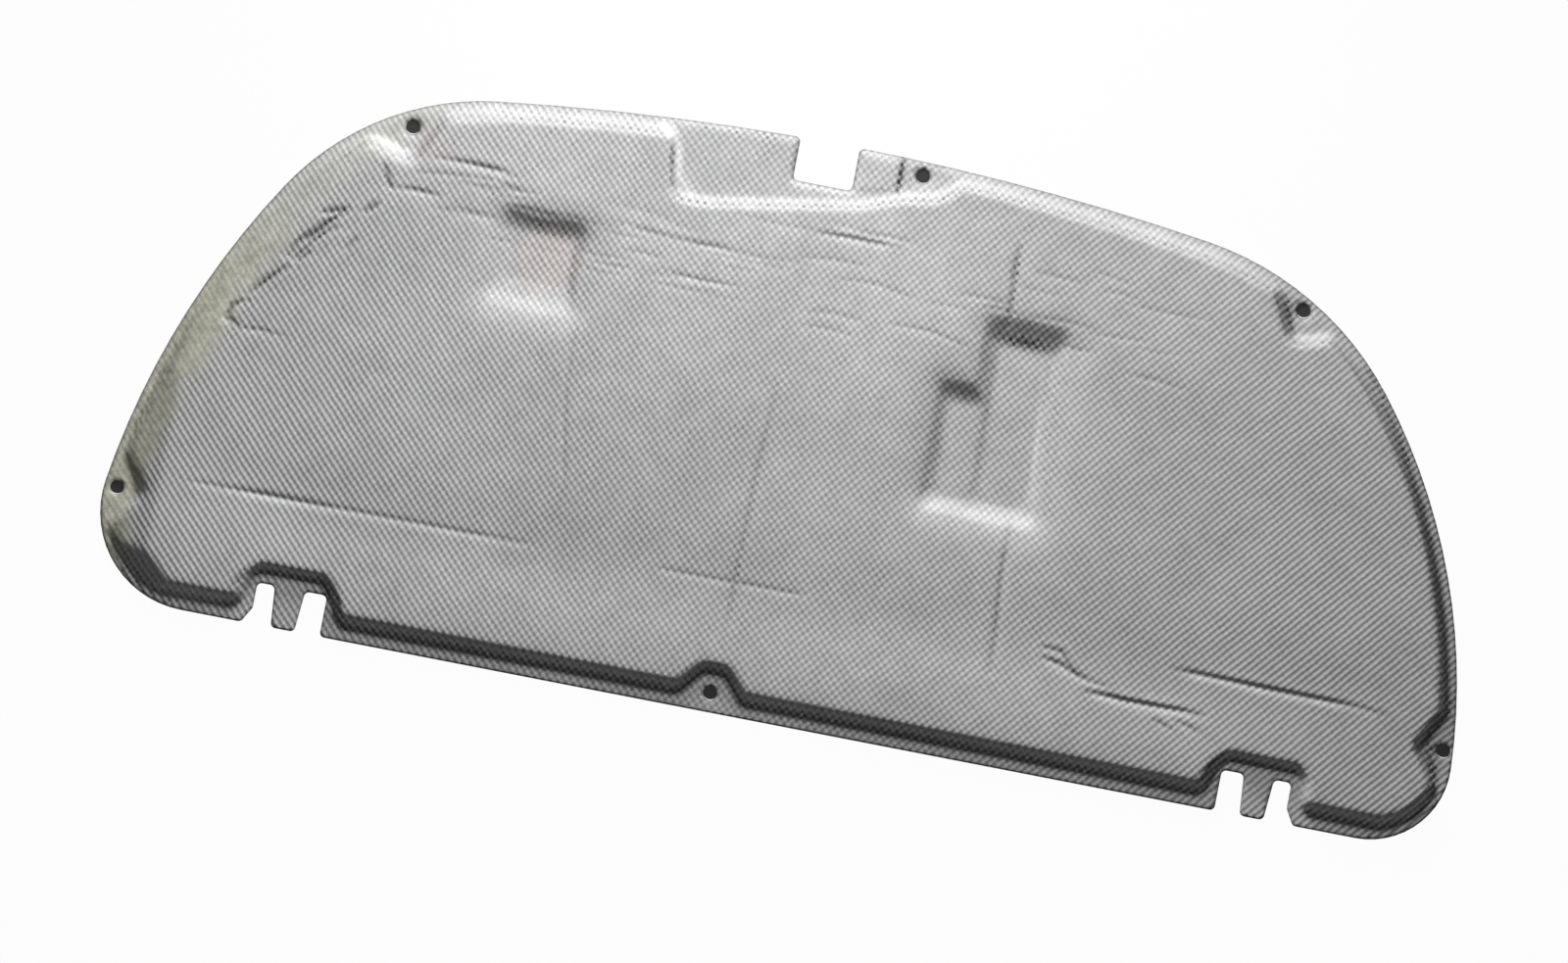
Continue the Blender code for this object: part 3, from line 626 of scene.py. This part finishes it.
# Where the felt sags towards a pocket: (left, right, rear, front) of the pocket
SAGS = ((-0.295, -0.235, 0.075, 0.125), (0.145, 0.195, -0.030, 0.110), (0.110, 0.145, -0.030, 0.055))
SAG_DEPTH = 0.0058
SAG_REACH = 0.021


def smooth_step(value, start, end):
    """0 before start, 1 after end, and an even S between them."""
    t = np.clip((value - start) / (end - start), 0, 1)
    return t * t * (3 - 2 * t)


def swell_at(x, y):
    spot = Vector((x / SWELL_LENGTH, y / SWELL_LENGTH, 0))
    return noise.noise(spot) + SECOND_SWELL * noise.noise(spot * SECOND_SWELL_SCALE)


def sag_at(x, y):
    """How far the field sags round the pockets."""
    sag = np.zeros(len(x))
    for left, right, rear, front in SAGS:
        gap = np.hypot(np.maximum(np.maximum(left - x, x - right), 0),
                       np.maximum(np.maximum(rear - y, y - front), 0))
        sag = np.maximum(sag, SAG_DEPTH * np.exp(-(gap / SAG_REACH) ** 2))
    return sag


def slow_forms(plan):
    """The field's gentle swell, its fall to the front, its sags and the valley near its rear."""
    x, y = plan[:, 0], plan[:, 1]
    swell = SWELL * np.array([swell_at(a, b) for a, b in plan])
    fall = FRONT_FALL * smooth_step(y, FRONT_FALL_START, FRONT_FALL_END)
    valley = REAR_VALLEY * np.exp(-((y - REAR_VALLEY_Y) / REAR_VALLEY_WIDTH) ** 2)
    rise = REAR_RISE * smooth_step(-y, REAR_RISE_START, REAR_RISE_END)
    rear = (valley - rise) * smooth_step(-np.abs(x), REAR_FORMS_END, REAR_FORMS_START)
    return swell - fall - rear - sag_at(x, y)


print("deepest sag", SAG_DEPTH, "m, rise near the rear", REAR_RISE, "m")

# %% [markdown]
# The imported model's heights are read by rays from above and smoothed, as felt rounds off the
# forms of its mould. The left flank and the pockets' upper slopes are the softest. At the cut
# edge the felt is pressed thinner, so the top is rounded down by its distance from the edge.
# Moving points in code is enough: a mould gives the pad its form, so no cloth is simulated.

# %% Softening, and the cut edge
SMOOTH_STEPS = 3
FLANK_SMOOTH_STEPS = 10
SHOULDER_SMOOTH_STEPS = 10
SHOULDER_LEVELS = (0.0125, 0.0179)
POCKET_ZONES = ((-0.335, -0.215, 0.030, 0.175), (0.075, 0.225, -0.070, 0.165))
LEFT_ARC_CENTRE = Vector((0.0538, -0.2435, 0))
FLANK_RADIUS = 0.595
SMOOTH_FACTOR = 0.5
RIM_LEVEL = 0.004
EDGE_ROUND = 0.0016
EDGE_DROP = 0.0011
EDGE_SEARCH = 0.01
FRONT_RIM_WIDTH = 0.0065
FRONT_RIM_FALL = 0.0016


def outline_distance(shape, points):
    """How far each top point lies from the cut edge."""
    walls = shape.copy()
    walls.normal_update()
    flat = [face for face in walls.faces if abs(face.normal.z) >= FLAT_NORMAL]
    bmesh.ops.delete(walls, geom=flat, context="FACES")
    tree = BVHTree.FromBMesh(walls)
    walls.free()
    found = []
    for point in points:
        spot = tree.find_nearest(Vector((point.co.x, point.co.y, 0)), EDGE_SEARCH)
        found.append(spot[3] if spot[0] is not None else EDGE_SEARCH)
    return np.array(found)


def in_pocket_shoulder(spot):
    """Whether a point lies on the upper part of a pocket's slopes."""
    low, high = SHOULDER_LEVELS
    return low < spot.z < high and any(
        left < spot.x < right and rear < spot.y < front
        for left, right, rear, front in POCKET_ZONES)


def smooth(shape, points, times):
    for _ in range(times):
        bmesh.ops.smooth_vert(shape, verts=points, factor=SMOOTH_FACTOR, use_axis_z=True)


def take_heights(shape, points, plan, distance):
    """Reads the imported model's heights and softens them, most of all on the long slopes."""
    for point, (x, y) in zip(points, pulled(plan)):
        point.co.z = height_at(x, y)
    inner = [point for point, gap in zip(points, distance) if gap > WELD]
    smooth(shape, inner, SMOOTH_STEPS)
    flank = [point for point in inner if (point.co.xy - LEFT_ARC_CENTRE.xy).length > FLANK_RADIUS
             and point.co.x < 0 and point.co.z > RIM_LEVEL]
    smooth(shape, flank, FLANK_SMOOTH_STEPS)
    shoulders = [point for point in inner if in_pocket_shoulder(point.co)]
    smooth(shape, shoulders, SHOULDER_SMOOTH_STEPS)
    return np.array([point.co.z for point in points])


def edge_fall(distance, front):
    """How far the top is rounded down at the cut edge."""
    fall = EDGE_DROP * np.clip(1 - distance / EDGE_ROUND, 0, 1) ** 2
    return fall + FRONT_RIM_FALL * front * np.clip(1 - distance / FRONT_RIM_WIDTH, 0, 1)


print("smoothing steps:", SMOOTH_STEPS, "and", FLANK_SMOOTH_STEPS, "more on the flank")

# %% [markdown]
# Now the skin takes its heights. Slow forms and creases belong to the raised field and fade out
# down its wall. The creases come last, so that nothing smooths them.

# %% Set the heights
FIELD_LEVEL = 0.0165
FRONT_START, FRONT_END = -0.06, 0.04

# A new layer makes old lists of points useless, so both layers come first.
for name in ("painted_shade", "edge"):
    skin.verts.layers.float.new(name)
top = top_points(skin)
plan = plan_of(top)
edge_gap = outline_distance(skin, top)
moulded = take_heights(skin, top, plan, edge_gap)
front_share = smooth_step(plan[:, 1], FRONT_START, FRONT_END)
field_share = smooth_step(moulded, RIM_LEVEL, FIELD_LEVEL)
relief, painted_crease_shade = crease_relief(plan)
levels = moulded + field_share * (slow_forms(plan) + relief) - edge_fall(edge_gap, front_share)
for point, z in zip(top, levels):
    point.co.z = z
skin.normal_update()
print("top points:", len(top), "highest", round(levels.max(), 4))

# %% [markdown]
# Painted shade and a dark edge line are kept on the skin's points, because they follow its forms. Walls
# that turn away from the lamp are painted with shade, most at their foot, and less at the left end. The
# steep parts that face the lamp are painted a little darker near the top, which tones down their light.
# A darker line is painted along the cut edge, where the facing is pressed thin, and it is stronger at
# the front. Numbers on points reach the material as attributes, so no picture is needed.

# %% Keep painted shade and the edge line on the skin
EDGE_LINE = 0.0024
EDGE_LINE_REAR = 0.7
WALL_SHADE = 0.0034
WALL_TOP_SHARE = 0.20
WALL_FOOT, WALL_TOP = 0.0050, 0.0165
# How far a face turns away from the lamp: unshaded at the first value, fully painted with shade at the
# second
TURNED_AWAY = (-0.12, 0.30)
LIT_WALL_SHADE = 0.0011
# One less the upward part of the normal: level up to the first value, a wall from the second
STEEPNESS = (0.10, 0.40)
LEFT_WALL_EASE = 0.75
LEFT_EASE_START, LEFT_EASE_END = 0.44, 0.53


def painted_wall_shade(points, plan, level, front):
    """Shade painted on the walls, from the way they face the lamp and how high on them a point lies."""
    away = -np.array([point.normal.dot(LAMP_PLACE - point.co) for point in points])
    steep = 1 - np.array([point.normal.z for point in points])
    rise = smooth_step(level, WALL_FOOT, WALL_TOP)
    held = WALL_SHADE * (1 - (1 - WALL_TOP_SHARE) * rise)
    held *= 1 - LEFT_WALL_EASE * smooth_step(-plan[:, 0], LEFT_EASE_START, LEFT_EASE_END)
    lit = LIT_WALL_SHADE * front * rise * smooth_step(steep, *STEEPNESS)
    return held * smooth_step(away, *TURNED_AWAY) + lit


def store(shape, name, points, values):
    layer = shape.verts.layers.float[name]
    for point, value in zip(points, values):
        point[layer] = value


# All of this is painted shade, less the painted highlights along the pale lines.
painted_shade = painted_crease_shade * field_share + painted_foot_shade(plan) + painted_wall_shade(top, plan, moulded, front_share)
edge_line = EDGE_LINE_REAR + (1 - EDGE_LINE_REAR) * front_share
edge_line *= np.clip(1 - edge_gap / EDGE_LINE, 0, 1)
store(skin, "painted_shade", top, painted_shade)
store(skin, "edge", top, edge_line)
print("soil from", round(painted_shade.min(), 4), "to", round(painted_shade.max(), 4))

# %% [markdown]
# The facing and the felt are painted by nodes, because a weave of 5 mm over a pad of 1.2 m is too
# fine to model and has to be sharp at any distance. A few helpers keep the node trees short.

# %% Node helpers
# Noise seldom leaves this span, so ranges of shade start and end there.
NOISE_SPAN = (0.3, 0.7)


def sockets(group, inputs, outputs):
    for name, kind, value in inputs:
        socket = group.interface.new_socket(name, in_out="INPUT", socket_type=kind)
        if value is not None:
            socket.default_value = value
    for name, kind in outputs:
        group.interface.new_socket(name, in_out="OUTPUT", socket_type=kind)


def vector_node(tree, operation, a, b=None):
    """A Vector Math node; each operand is a socket or a vector."""
    node = tree.nodes.new("ShaderNodeVectorMath")
    node.operation = operation
    give(tree, node.inputs[0], a)
    give(tree, node.inputs[1], b)
    return node.outputs["Value" if operation in ("DOT_PRODUCT", "DISTANCE") else "Vector"]


def noise_node(tree, vector, scale, detail=2.0, roughness=0.5):
    node = tree.nodes.new("ShaderNodeTexNoise")
    for name, value in (("Vector", vector), ("Scale", scale), ("Detail", detail),
                        ("Roughness", roughness)):
        give(tree, node.inputs[name], value)
    return node


def range_node(tree, value, from_low, from_high, to_low=0.0, to_high=1.0, smooth=True):
    node = tree.nodes.new("ShaderNodeMapRange")
    node.interpolation_type = "SMOOTHSTEP" if smooth else "LINEAR"
    for name, number in (("Value", value), ("From Min", from_low), ("From Max", from_high),
                         ("To Min", to_low), ("To Max", to_high)):
        give(tree, node.inputs[name], number)
    return node.outputs["Result"]


def cloud(tree, vector, look, low, high, span=NOISE_SPAN):
    """Noise of the given scale, detail and roughness, spread from low to high."""
    return range_node(tree, noise_node(tree, vector, *look).outputs["Fac"], *span, low, high)


def mix_colour(tree, share, a, b, blend="MIX"):
    """A colour Mix node; each input is a socket or a value."""
    node = tree.nodes.new("ShaderNodeMix")
    node.data_type = "RGBA"
    node.blend_type = blend
    colours = [socket for socket in node.inputs if socket.type == "RGBA"]
    for socket, value in zip([node.inputs[0]] + colours, (share, a, b)):
        give(tree, socket, value)
    return [socket for socket in node.outputs if socket.type == "RGBA"][0]


def use_group(tree, group, vector, **values):
    node = tree.nodes.new("ShaderNodeGroup")
    node.node_tree = group
    for name, value in (("Vector", vector), *values.items()):
        give(tree, node.inputs[name], value)
    return node


def split(tree, vector):
    node = tree.nodes.new("ShaderNodeSeparateXYZ")
    tree.links.new(vector, node.inputs[0])
    return node.outputs


print("noise is spread over", NOISE_SPAN)

# %% [markdown]
# The facing is woven from flat silver-grey threads that run both ways across the pad, about 5 mm
# from rib to rib. On the left the light picks out one set of threads, on the right the other,
# and in the middle both. A slow drift bends the threads, and two finer noises vary their strength
# from patch to patch and from bead to bead. The weave is a node group, since the facing and the
# felt behind it both show it, more or less strongly.

# %% Weave
THREAD_PITCH = 0.0051
FALLING_THREADS = math.radians(133.0)
RISING_THREADS = math.radians(50.0)
WEAVE_WANDER = 0.0009
DRIFT_LOOK = (26.0, 2.0)
PATCH_LOOK, PATCH_STRENGTH = (90.0, 2.0), (0.60, 1.25)
BEAD_LOOK, BEAD_STRENGTH = (300.0, 1.0), (0.35, 1.55)


def thread_wave(tree, place, direction, pitch):
    """A wave that runs across threads of the given direction, from -1 to 1."""
    across_threads = (-math.sin(direction), math.cos(direction), 0)
    run = vector_node(tree, "DOT_PRODUCT", place, across_threads)
    turns = sum_node(tree, "MULTIPLY", run, 2 * math.pi / pitch)
    return sum_node(tree, "SINE", turns)


def weave_group():
    """Threads at two slants. Falling and Rising say how strongly each set shows."""
    group = bpy.data.node_groups.new("weave", "ShaderNodeTree")
    sockets(
        group,
        [("Vector", "NodeSocketVector", None), ("Falling", "NodeSocketFloat", 1.0),
         ("Rising", "NodeSocketFloat", 1.0)],
        [("Height", "NodeSocketFloat"), ("Shade", "NodeSocketFloat")],
    )
    start = group.nodes.new("NodeGroupInput")
    end = group.nodes.new("NodeGroupOutput")
    place = start.outputs["Vector"]
    drift = noise_node(group, place, *DRIFT_LOOK)
    shift = vector_node(group, "SUBTRACT", drift.outputs["Color"], (0.5, 0.5, 0.5))
    shift = vector_node(group, "MULTIPLY", shift, (WEAVE_WANDER * 2,) * 3)
    drifted = vector_node(group, "ADD", place, shift)
    falling = thread_wave(group, drifted, FALLING_THREADS, THREAD_PITCH)
    rising = thread_wave(group, drifted, RISING_THREADS, THREAD_PITCH)
    fall = sum_node(group, "MULTIPLY", falling, start.outputs["Falling"])
    rise = sum_node(group, "MULTIPLY", rising, start.outputs["Rising"])
    total = sum_node(group, "ADD", fall, rise)
    patches = cloud(group, place, PATCH_LOOK, *PATCH_STRENGTH)
    beads = cloud(group, place, BEAD_LOOK, *BEAD_STRENGTH)
    shade = sum_node(group, "MULTIPLY", sum_node(group, "MULTIPLY", total, patches), beads)
    group.links.new(shade, end.inputs["Shade"])
    group.links.new(total, end.inputs["Height"])
    return group


WEAVE = weave_group()
print("weave group:", len(WEAVE.nodes), "nodes")

# %% [markdown]
# Felt shows between the threads and at the cut edge as short fibres: a fine speckle that is partly light
# and partly relief. The second group gives a slow and a quick cloud of darker and lighter patches, less
# the painted shade that a crease, a wall or a line holds. Both are groups, because the facing, the back
# and the cut edge share them.

# %% Fibre, mottle and painted shade
FIBRE_SCALE = 900.0
FIBRE_DETAIL, FIBRE_ROUGHNESS = 3.0, 0.6
SLOW_LOOK, SLOW_SHADE = (7.0, 3.0, 0.55), 0.06
QUICK_LOOK, QUICK_SHADE = (55.0, 3.0, 0.55), 0.045
# How dark a metre of painted shade would make the cloth; the deepest holds a few millimetres.
SHADE_DARKNESS = 220.0


def fibre_group():
    group = bpy.data.node_groups.new("fibre", "ShaderNodeTree")
    sockets(group, [("Vector", "NodeSocketVector", None), ("Scale", "NodeSocketFloat", FIBRE_SCALE)],
            [("Height", "NodeSocketFloat")])
    start = group.nodes.new("NodeGroupInput")
    end = group.nodes.new("NodeGroupOutput")
    fine = noise_node(group, start.outputs["Vector"], start.outputs["Scale"],
                      FIBRE_DETAIL, FIBRE_ROUGHNESS)
    group.links.new(fine.outputs["Fac"], end.inputs["Height"])
    return group


# Random mottle, less the painted shade that comes in as Crease.
def mottle_and_shade_group():
    group = bpy.data.node_groups.new("painted_shade", "ShaderNodeTree")
    sockets(group, [("Vector", "NodeSocketVector", None), ("Crease", "NodeSocketFloat", 0.0)],
            [("Shade", "NodeSocketFloat")])
    start = group.nodes.new("NodeGroupInput")
    end = group.nodes.new("NodeGroupOutput")
    place = start.outputs["Vector"]
    slow = cloud(group, place, SLOW_LOOK, -SLOW_SHADE, SLOW_SHADE)
    quick = cloud(group, place, QUICK_LOOK, -QUICK_SHADE, QUICK_SHADE)
    both = sum_node(group, "ADD", slow, quick)
    dark = sum_node(group, "MULTIPLY", start.outputs["Crease"], -SHADE_DARKNESS)
    group.links.new(sum_node(group, "ADD", both, dark), end.inputs["Shade"])
    return group


FIBRE = fibre_group()
MOTTLE_AND_PAINTED_SHADE = mottle_and_shade_group()
print("fibre group:", len(FIBRE.nodes), "nodes, soil group:", len(MOTTLE_AND_PAINTED_SHADE.nodes), "nodes")

# %% [markdown]
# The facing's tint comes first. It is silver-grey, turns to a stained olive along the left edge,
# where heat and oil reached it, and to a faint pink beside the left corner clip and in the left
# pocket. The olive follows the arc of the left edge, so it is measured from that arc's centre.

# %% Tint of the facing
SILVER = (0.385, 0.385, 0.388, 1)
OLIVE = (0.345, 0.345, 0.285, 1)
PINK = (0.450, 0.400, 0.385, 1)
# Colour of the darker line painted along the cut edge
EDGE_LINE_COLOUR = (0.14, 0.14, 0.135, 1)
OLIVE_BAND = (0.618, 0.640)
OLIVE_SIDE = (-0.30, -0.40)
OLIVE_FADE_Y = (0.14, 0.02)
OLIVE_FAR_SHARE = 0.35
WOBBLE_LOOK, WOBBLE = (22.0, 3.0, 0.6), 0.007
PINK_SPOTS = (((-0.3777, 0.1882, 0), 0.030), ((-0.2572, 0.1070, 0), 0.042))
PINK_CORE, PINK_SHARE = 0.25, 0.6


def attribute_node(tree, name):
    node = tree.nodes.new("ShaderNodeAttribute")
    node.attribute_name = name
    return node.outputs["Fac"]


def tint(tree, place):
    """Silver-grey with the olive band and the pink spots, and how much of the band there is."""
    wobble = cloud(tree, place, WOBBLE_LOOK, -WOBBLE, WOBBLE)
    radius = vector_node(tree, "DISTANCE", place, LEFT_ARC_CENTRE)
    radius = sum_node(tree, "ADD", radius, wobble)
    x, y, _ = split(tree, place)
    band = range_node(tree, radius, *OLIVE_BAND)
    left_only = range_node(tree, x, *OLIVE_SIDE)
    fade = range_node(tree, y, *OLIVE_FADE_Y, OLIVE_FAR_SHARE, 1.0)
    share = sum_node(tree, "MULTIPLY", sum_node(tree, "MULTIPLY", band, left_only), fade)
    colour = mix_colour(tree, share, SILVER, OLIVE)
    for centre, reach in PINK_SPOTS:
        gap = sum_node(tree, "ADD", vector_node(tree, "DISTANCE", place, centre), wobble)
        spot = range_node(tree, gap, reach, reach * PINK_CORE, 0.0, PINK_SHARE)
        colour = mix_colour(tree, spot, colour, PINK)
    return mix_colour(tree, attribute_node(tree, "edge"), colour, EDGE_LINE_COLOUR), share


print("olive from", OLIVE_BAND[0], "m round the left arc's centre; pink spots:", len(PINK_SPOTS))

# %% [markdown]
# The facing then adds up its shades: threads, painted shade, fibres, blotches in the olive band and
# painted pools of light. The painted shade is lighter on raised threads than between them, where the
# light catches them. Ribs and fibres are bump, since neither stands out by more than a fifth of a
# millimetre. The cloth is dull: a little sheen, and less gloss than plain plastic.

# %% Facing material
SHADE_SPREAD = (-0.42, 0.42)
FALLING_SHARES = (1.05, 0.28)
RISING_SHARES = (0.42, 0.96)
THREAD_CONTRAST = 0.18
THREAD_BITE = 0.5
OLIVE_WEAVE = 0.3
BLOTCH_LOOK, BLOTCH_SPAN = (150.0, 3.0, 0.65), (0.35, 0.65)
OLIVE_LIFT = 0.15
OLIVE_BLOTCH = 0.20
SPECKLE = 0.08
# Where pools of light are painted: (centre, reach, amount)
LIGHT_POOL_SPOTS = (((0.04, 0.07, 0.018), 0.13, 0.08), ((-0.50, -0.17, 0.018), 0.20, 0.10))
WEAVE_DEPTH = 0.00018
FIBRE_DEPTH = 0.00012
FACING_ROUGHNESS = 0.62
THREAD_ROUGHNESS = (0.72, 0.52)
SHEEN = 0.10
GLOSS = 0.2
DARKEST = 0.05


def shaded(tree, colour, shade):
    """The colour made lighter or darker by a share that may be negative."""
    factor = sum_node(tree, "ADD", shade, 1.0)
    factor = sum_node(tree, "MAXIMUM", factor, DARKEST)
    grey = tree.nodes.new("ShaderNodeCombineColor")
    for socket in grey.inputs[:3]:
        tree.links.new(factor, socket)
    return mix_colour(tree, 1.0, colour, grey.outputs[0], "MULTIPLY")


def bump_node(tree, height, depth):
    node = tree.nodes.new("ShaderNodeBump")
    node.inputs["Distance"].default_value = depth
    tree.links.new(height, node.inputs["Height"])
    return node


def painted_light_pools(tree, place):
    """How much the painted pools of light lighten each place."""
    total = 0.0
    for centre, reach, amount in LIGHT_POOL_SPOTS:
        gap = vector_node(tree, "DISTANCE", place, centre)
        total = sum_node(tree, "ADD", range_node(tree, gap, reach, 0.0, 0.0, amount), total)
    return total


def weave_for(tree, place):
    """The weave, with one set of threads stronger on the left and the other on the right."""
    x, _, _ = split(tree, place)
    falling = range_node(tree, x, *SHADE_SPREAD, *FALLING_SHARES, smooth=False)
    rising = range_node(tree, x, *SHADE_SPREAD, *RISING_SHARES, smooth=False)
    return use_group(tree, WEAVE, place, Falling=falling, Rising=rising)


def painted_shade_for(tree, place, threads):
    """The painted shade, lighter on raised threads."""
    bite = sum_node(tree, "SUBTRACT", 1.0, sum_node(tree, "MULTIPLY", threads, THREAD_BITE))
    crease = sum_node(tree, "MULTIPLY", attribute_node(tree, "painted_shade"), bite)
    return use_group(tree, MOTTLE_AND_PAINTED_SHADE, place, Crease=crease).outputs["Shade"]


def facing_material():
    material = plain_material("facing", SILVER, FACING_ROUGHNESS)
    tree = material.node_tree
    shader = tree.nodes["Principled BSDF"]
    place = tree.nodes.new("ShaderNodeTexCoord").outputs["Object"]
    weave = weave_for(tree, place)
    threads = weave.outputs["Shade"]
    colour, olive = tint(tree, place)
    fibre = use_group(tree, FIBRE, place).outputs["Height"]
    contrast = range_node(tree, olive, 0.0, 1.0, THREAD_CONTRAST, THREAD_CONTRAST * OLIVE_WEAVE)
    blotches = cloud(tree, place, BLOTCH_LOOK, OLIVE_LIFT - OLIVE_BLOTCH,
                     OLIVE_LIFT + OLIVE_BLOTCH, BLOTCH_SPAN)
    shade = sum_node(tree, "MULTIPLY", threads, contrast)
    for part in (painted_shade_for(tree, place, threads),
                 range_node(tree, fibre, *NOISE_SPAN, -SPECKLE, SPECKLE),
                 sum_node(tree, "MULTIPLY", olive, blotches),
                 painted_light_pools(tree, place)):
        shade = sum_node(tree, "ADD", shade, part)
    give(tree, shader.inputs["Base Color"], shaded(tree, colour, shade))
    give(tree, shader.inputs["Roughness"], range_node(tree, threads, -1.0, 1.0, *THREAD_ROUGHNESS))
    worn = range_node(tree, olive, 0.0, 1.0, 1.0, OLIVE_WEAVE)
    ribs = bump_node(tree, sum_node(tree, "MULTIPLY", weave.outputs["Height"], worn), WEAVE_DEPTH)
    fibres = bump_node(tree, fibre, FIBRE_DEPTH)
    tree.links.new(ribs.outputs[0], fibres.inputs["Normal"])
    tree.links.new(fibres.outputs[0], shader.inputs["Normal"])
    shader.inputs["Sheen Weight"].default_value = SHEEN
    shader.inputs["Specular IOR Level"].default_value = GLOSS
    return material


FACING = facing_material()
print("facing:", len(FACING.node_tree.nodes), "nodes")

# %% [markdown]
# The back and the cut edge are bare felt: rough, with stronger fibres, and darker than the
# facing. The back also shows a faint print of the weave. One function makes both.

# %% Felt materials
FELT_ROUGHNESS = 0.95
FELT_FIBRE_SCALE = 700.0
FELT_SPECKLE = 0.3
EDGE_COLOUR = (0.20, 0.20, 0.195, 1)
BACK_COLOUR = (0.13, 0.13, 0.135, 1)
BACK_WEAVE = 0.05


def felt_material(name, colour, thread_share):
    """Bare felt, for the back and the cut edge: fibres, and a faint print of the weave."""
    material = plain_material(name, colour, FELT_ROUGHNESS)
    tree = material.node_tree
    shader = tree.nodes["Principled BSDF"]
    place = tree.nodes.new("ShaderNodeTexCoord").outputs["Object"]
    fibre = use_group(tree, FIBRE, place, Scale=FELT_FIBRE_SCALE).outputs["Height"]
    shade = use_group(tree, MOTTLE_AND_PAINTED_SHADE, place).outputs["Shade"]
    threads = use_group(tree, WEAVE, place).outputs["Shade"]
    for part in (range_node(tree, fibre, *NOISE_SPAN, -FELT_SPECKLE, FELT_SPECKLE),
                 sum_node(tree, "MULTIPLY", threads, thread_share)):
        shade = sum_node(tree, "ADD", shade, part)
    give(tree, shader.inputs["Base Color"], shaded(tree, colour, shade))
    fibres = bump_node(tree, fibre, 2 * FIBRE_DEPTH)
    tree.links.new(fibres.outputs[0], shader.inputs["Normal"])
    return material


CUT_EDGE = felt_material("cut_edge", EDGE_COLOUR, 0.0)
BACK = felt_material("felt_back", BACK_COLOUR, BACK_WEAVE)
print("felt:", CUT_EDGE.name, BACK.name)

# %% [markdown]
# The skin becomes the finished piece. Top faces take the facing, upright ones the cut edge and
# the flat back its own felt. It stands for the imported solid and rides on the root.

# %% Finish the pad
def finish_pad(shape, points):
    shape.normal_update()
    top_set = set(points)
    for face in shape.faces:
        if all(point in top_set for point in face.verts):
            face.material_index = 0
        elif face.normal.z < -FLAT_NORMAL:
            face.material_index = 2
        else:
            face.material_index = 1
        face.smooth = face.material_index == 0
    item = object_from(shape, "moulded_pad", FACING)
    item.data.materials.append(CUT_EDGE)
    item.data.materials.append(BACK)
    return item


pad = finish_pad(skin, top)
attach(pad, "root")
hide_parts("insulation_pad")
print("pad:", len(pad.data.polygons), "faces")

# %% [markdown]
# The clip holes look dark in the photograph. Under each lies a small dark disc on the floor, a
# little wider than the hole and shifted slightly to the front. It belongs to the stage and not to
# the pad, so the holes stay open.

# %% Dark patches under the clip holes
# The discs are painted shade: the dark that shows through the holes.
PATCH_RADIUS = 0.0068
PATCH_SHIFT = 0.0012
PATCH_SIDES = 32
HOLE_SHADE_COLOUR = (0.012, 0.012, 0.012, 1)
PATCH_ROUGHNESS = 0.9

clip_boxes = [opening["box_m"] for opening in frame["record"]["physics"]["openings"]
              if opening["name"].endswith("clip_hole")]
patch_shape = bmesh.new()
for low, high in clip_boxes:
    middle = ((low[0] + high[0]) / 2, (low[1] + high[1]) / 2 + PATCH_SHIFT, -FLOOR_DROP / 2)
    bmesh.ops.create_circle(patch_shape, cap_ends=True, segments=PATCH_SIDES, radius=PATCH_RADIUS,
                            matrix=Matrix.Translation(middle))
patches = object_from(patch_shape, "dark_patches",
                      plain_material("dark_patch", HOLE_SHADE_COLOUR, PATCH_ROUGHNESS))
print("dark patches:", len(clip_boxes))
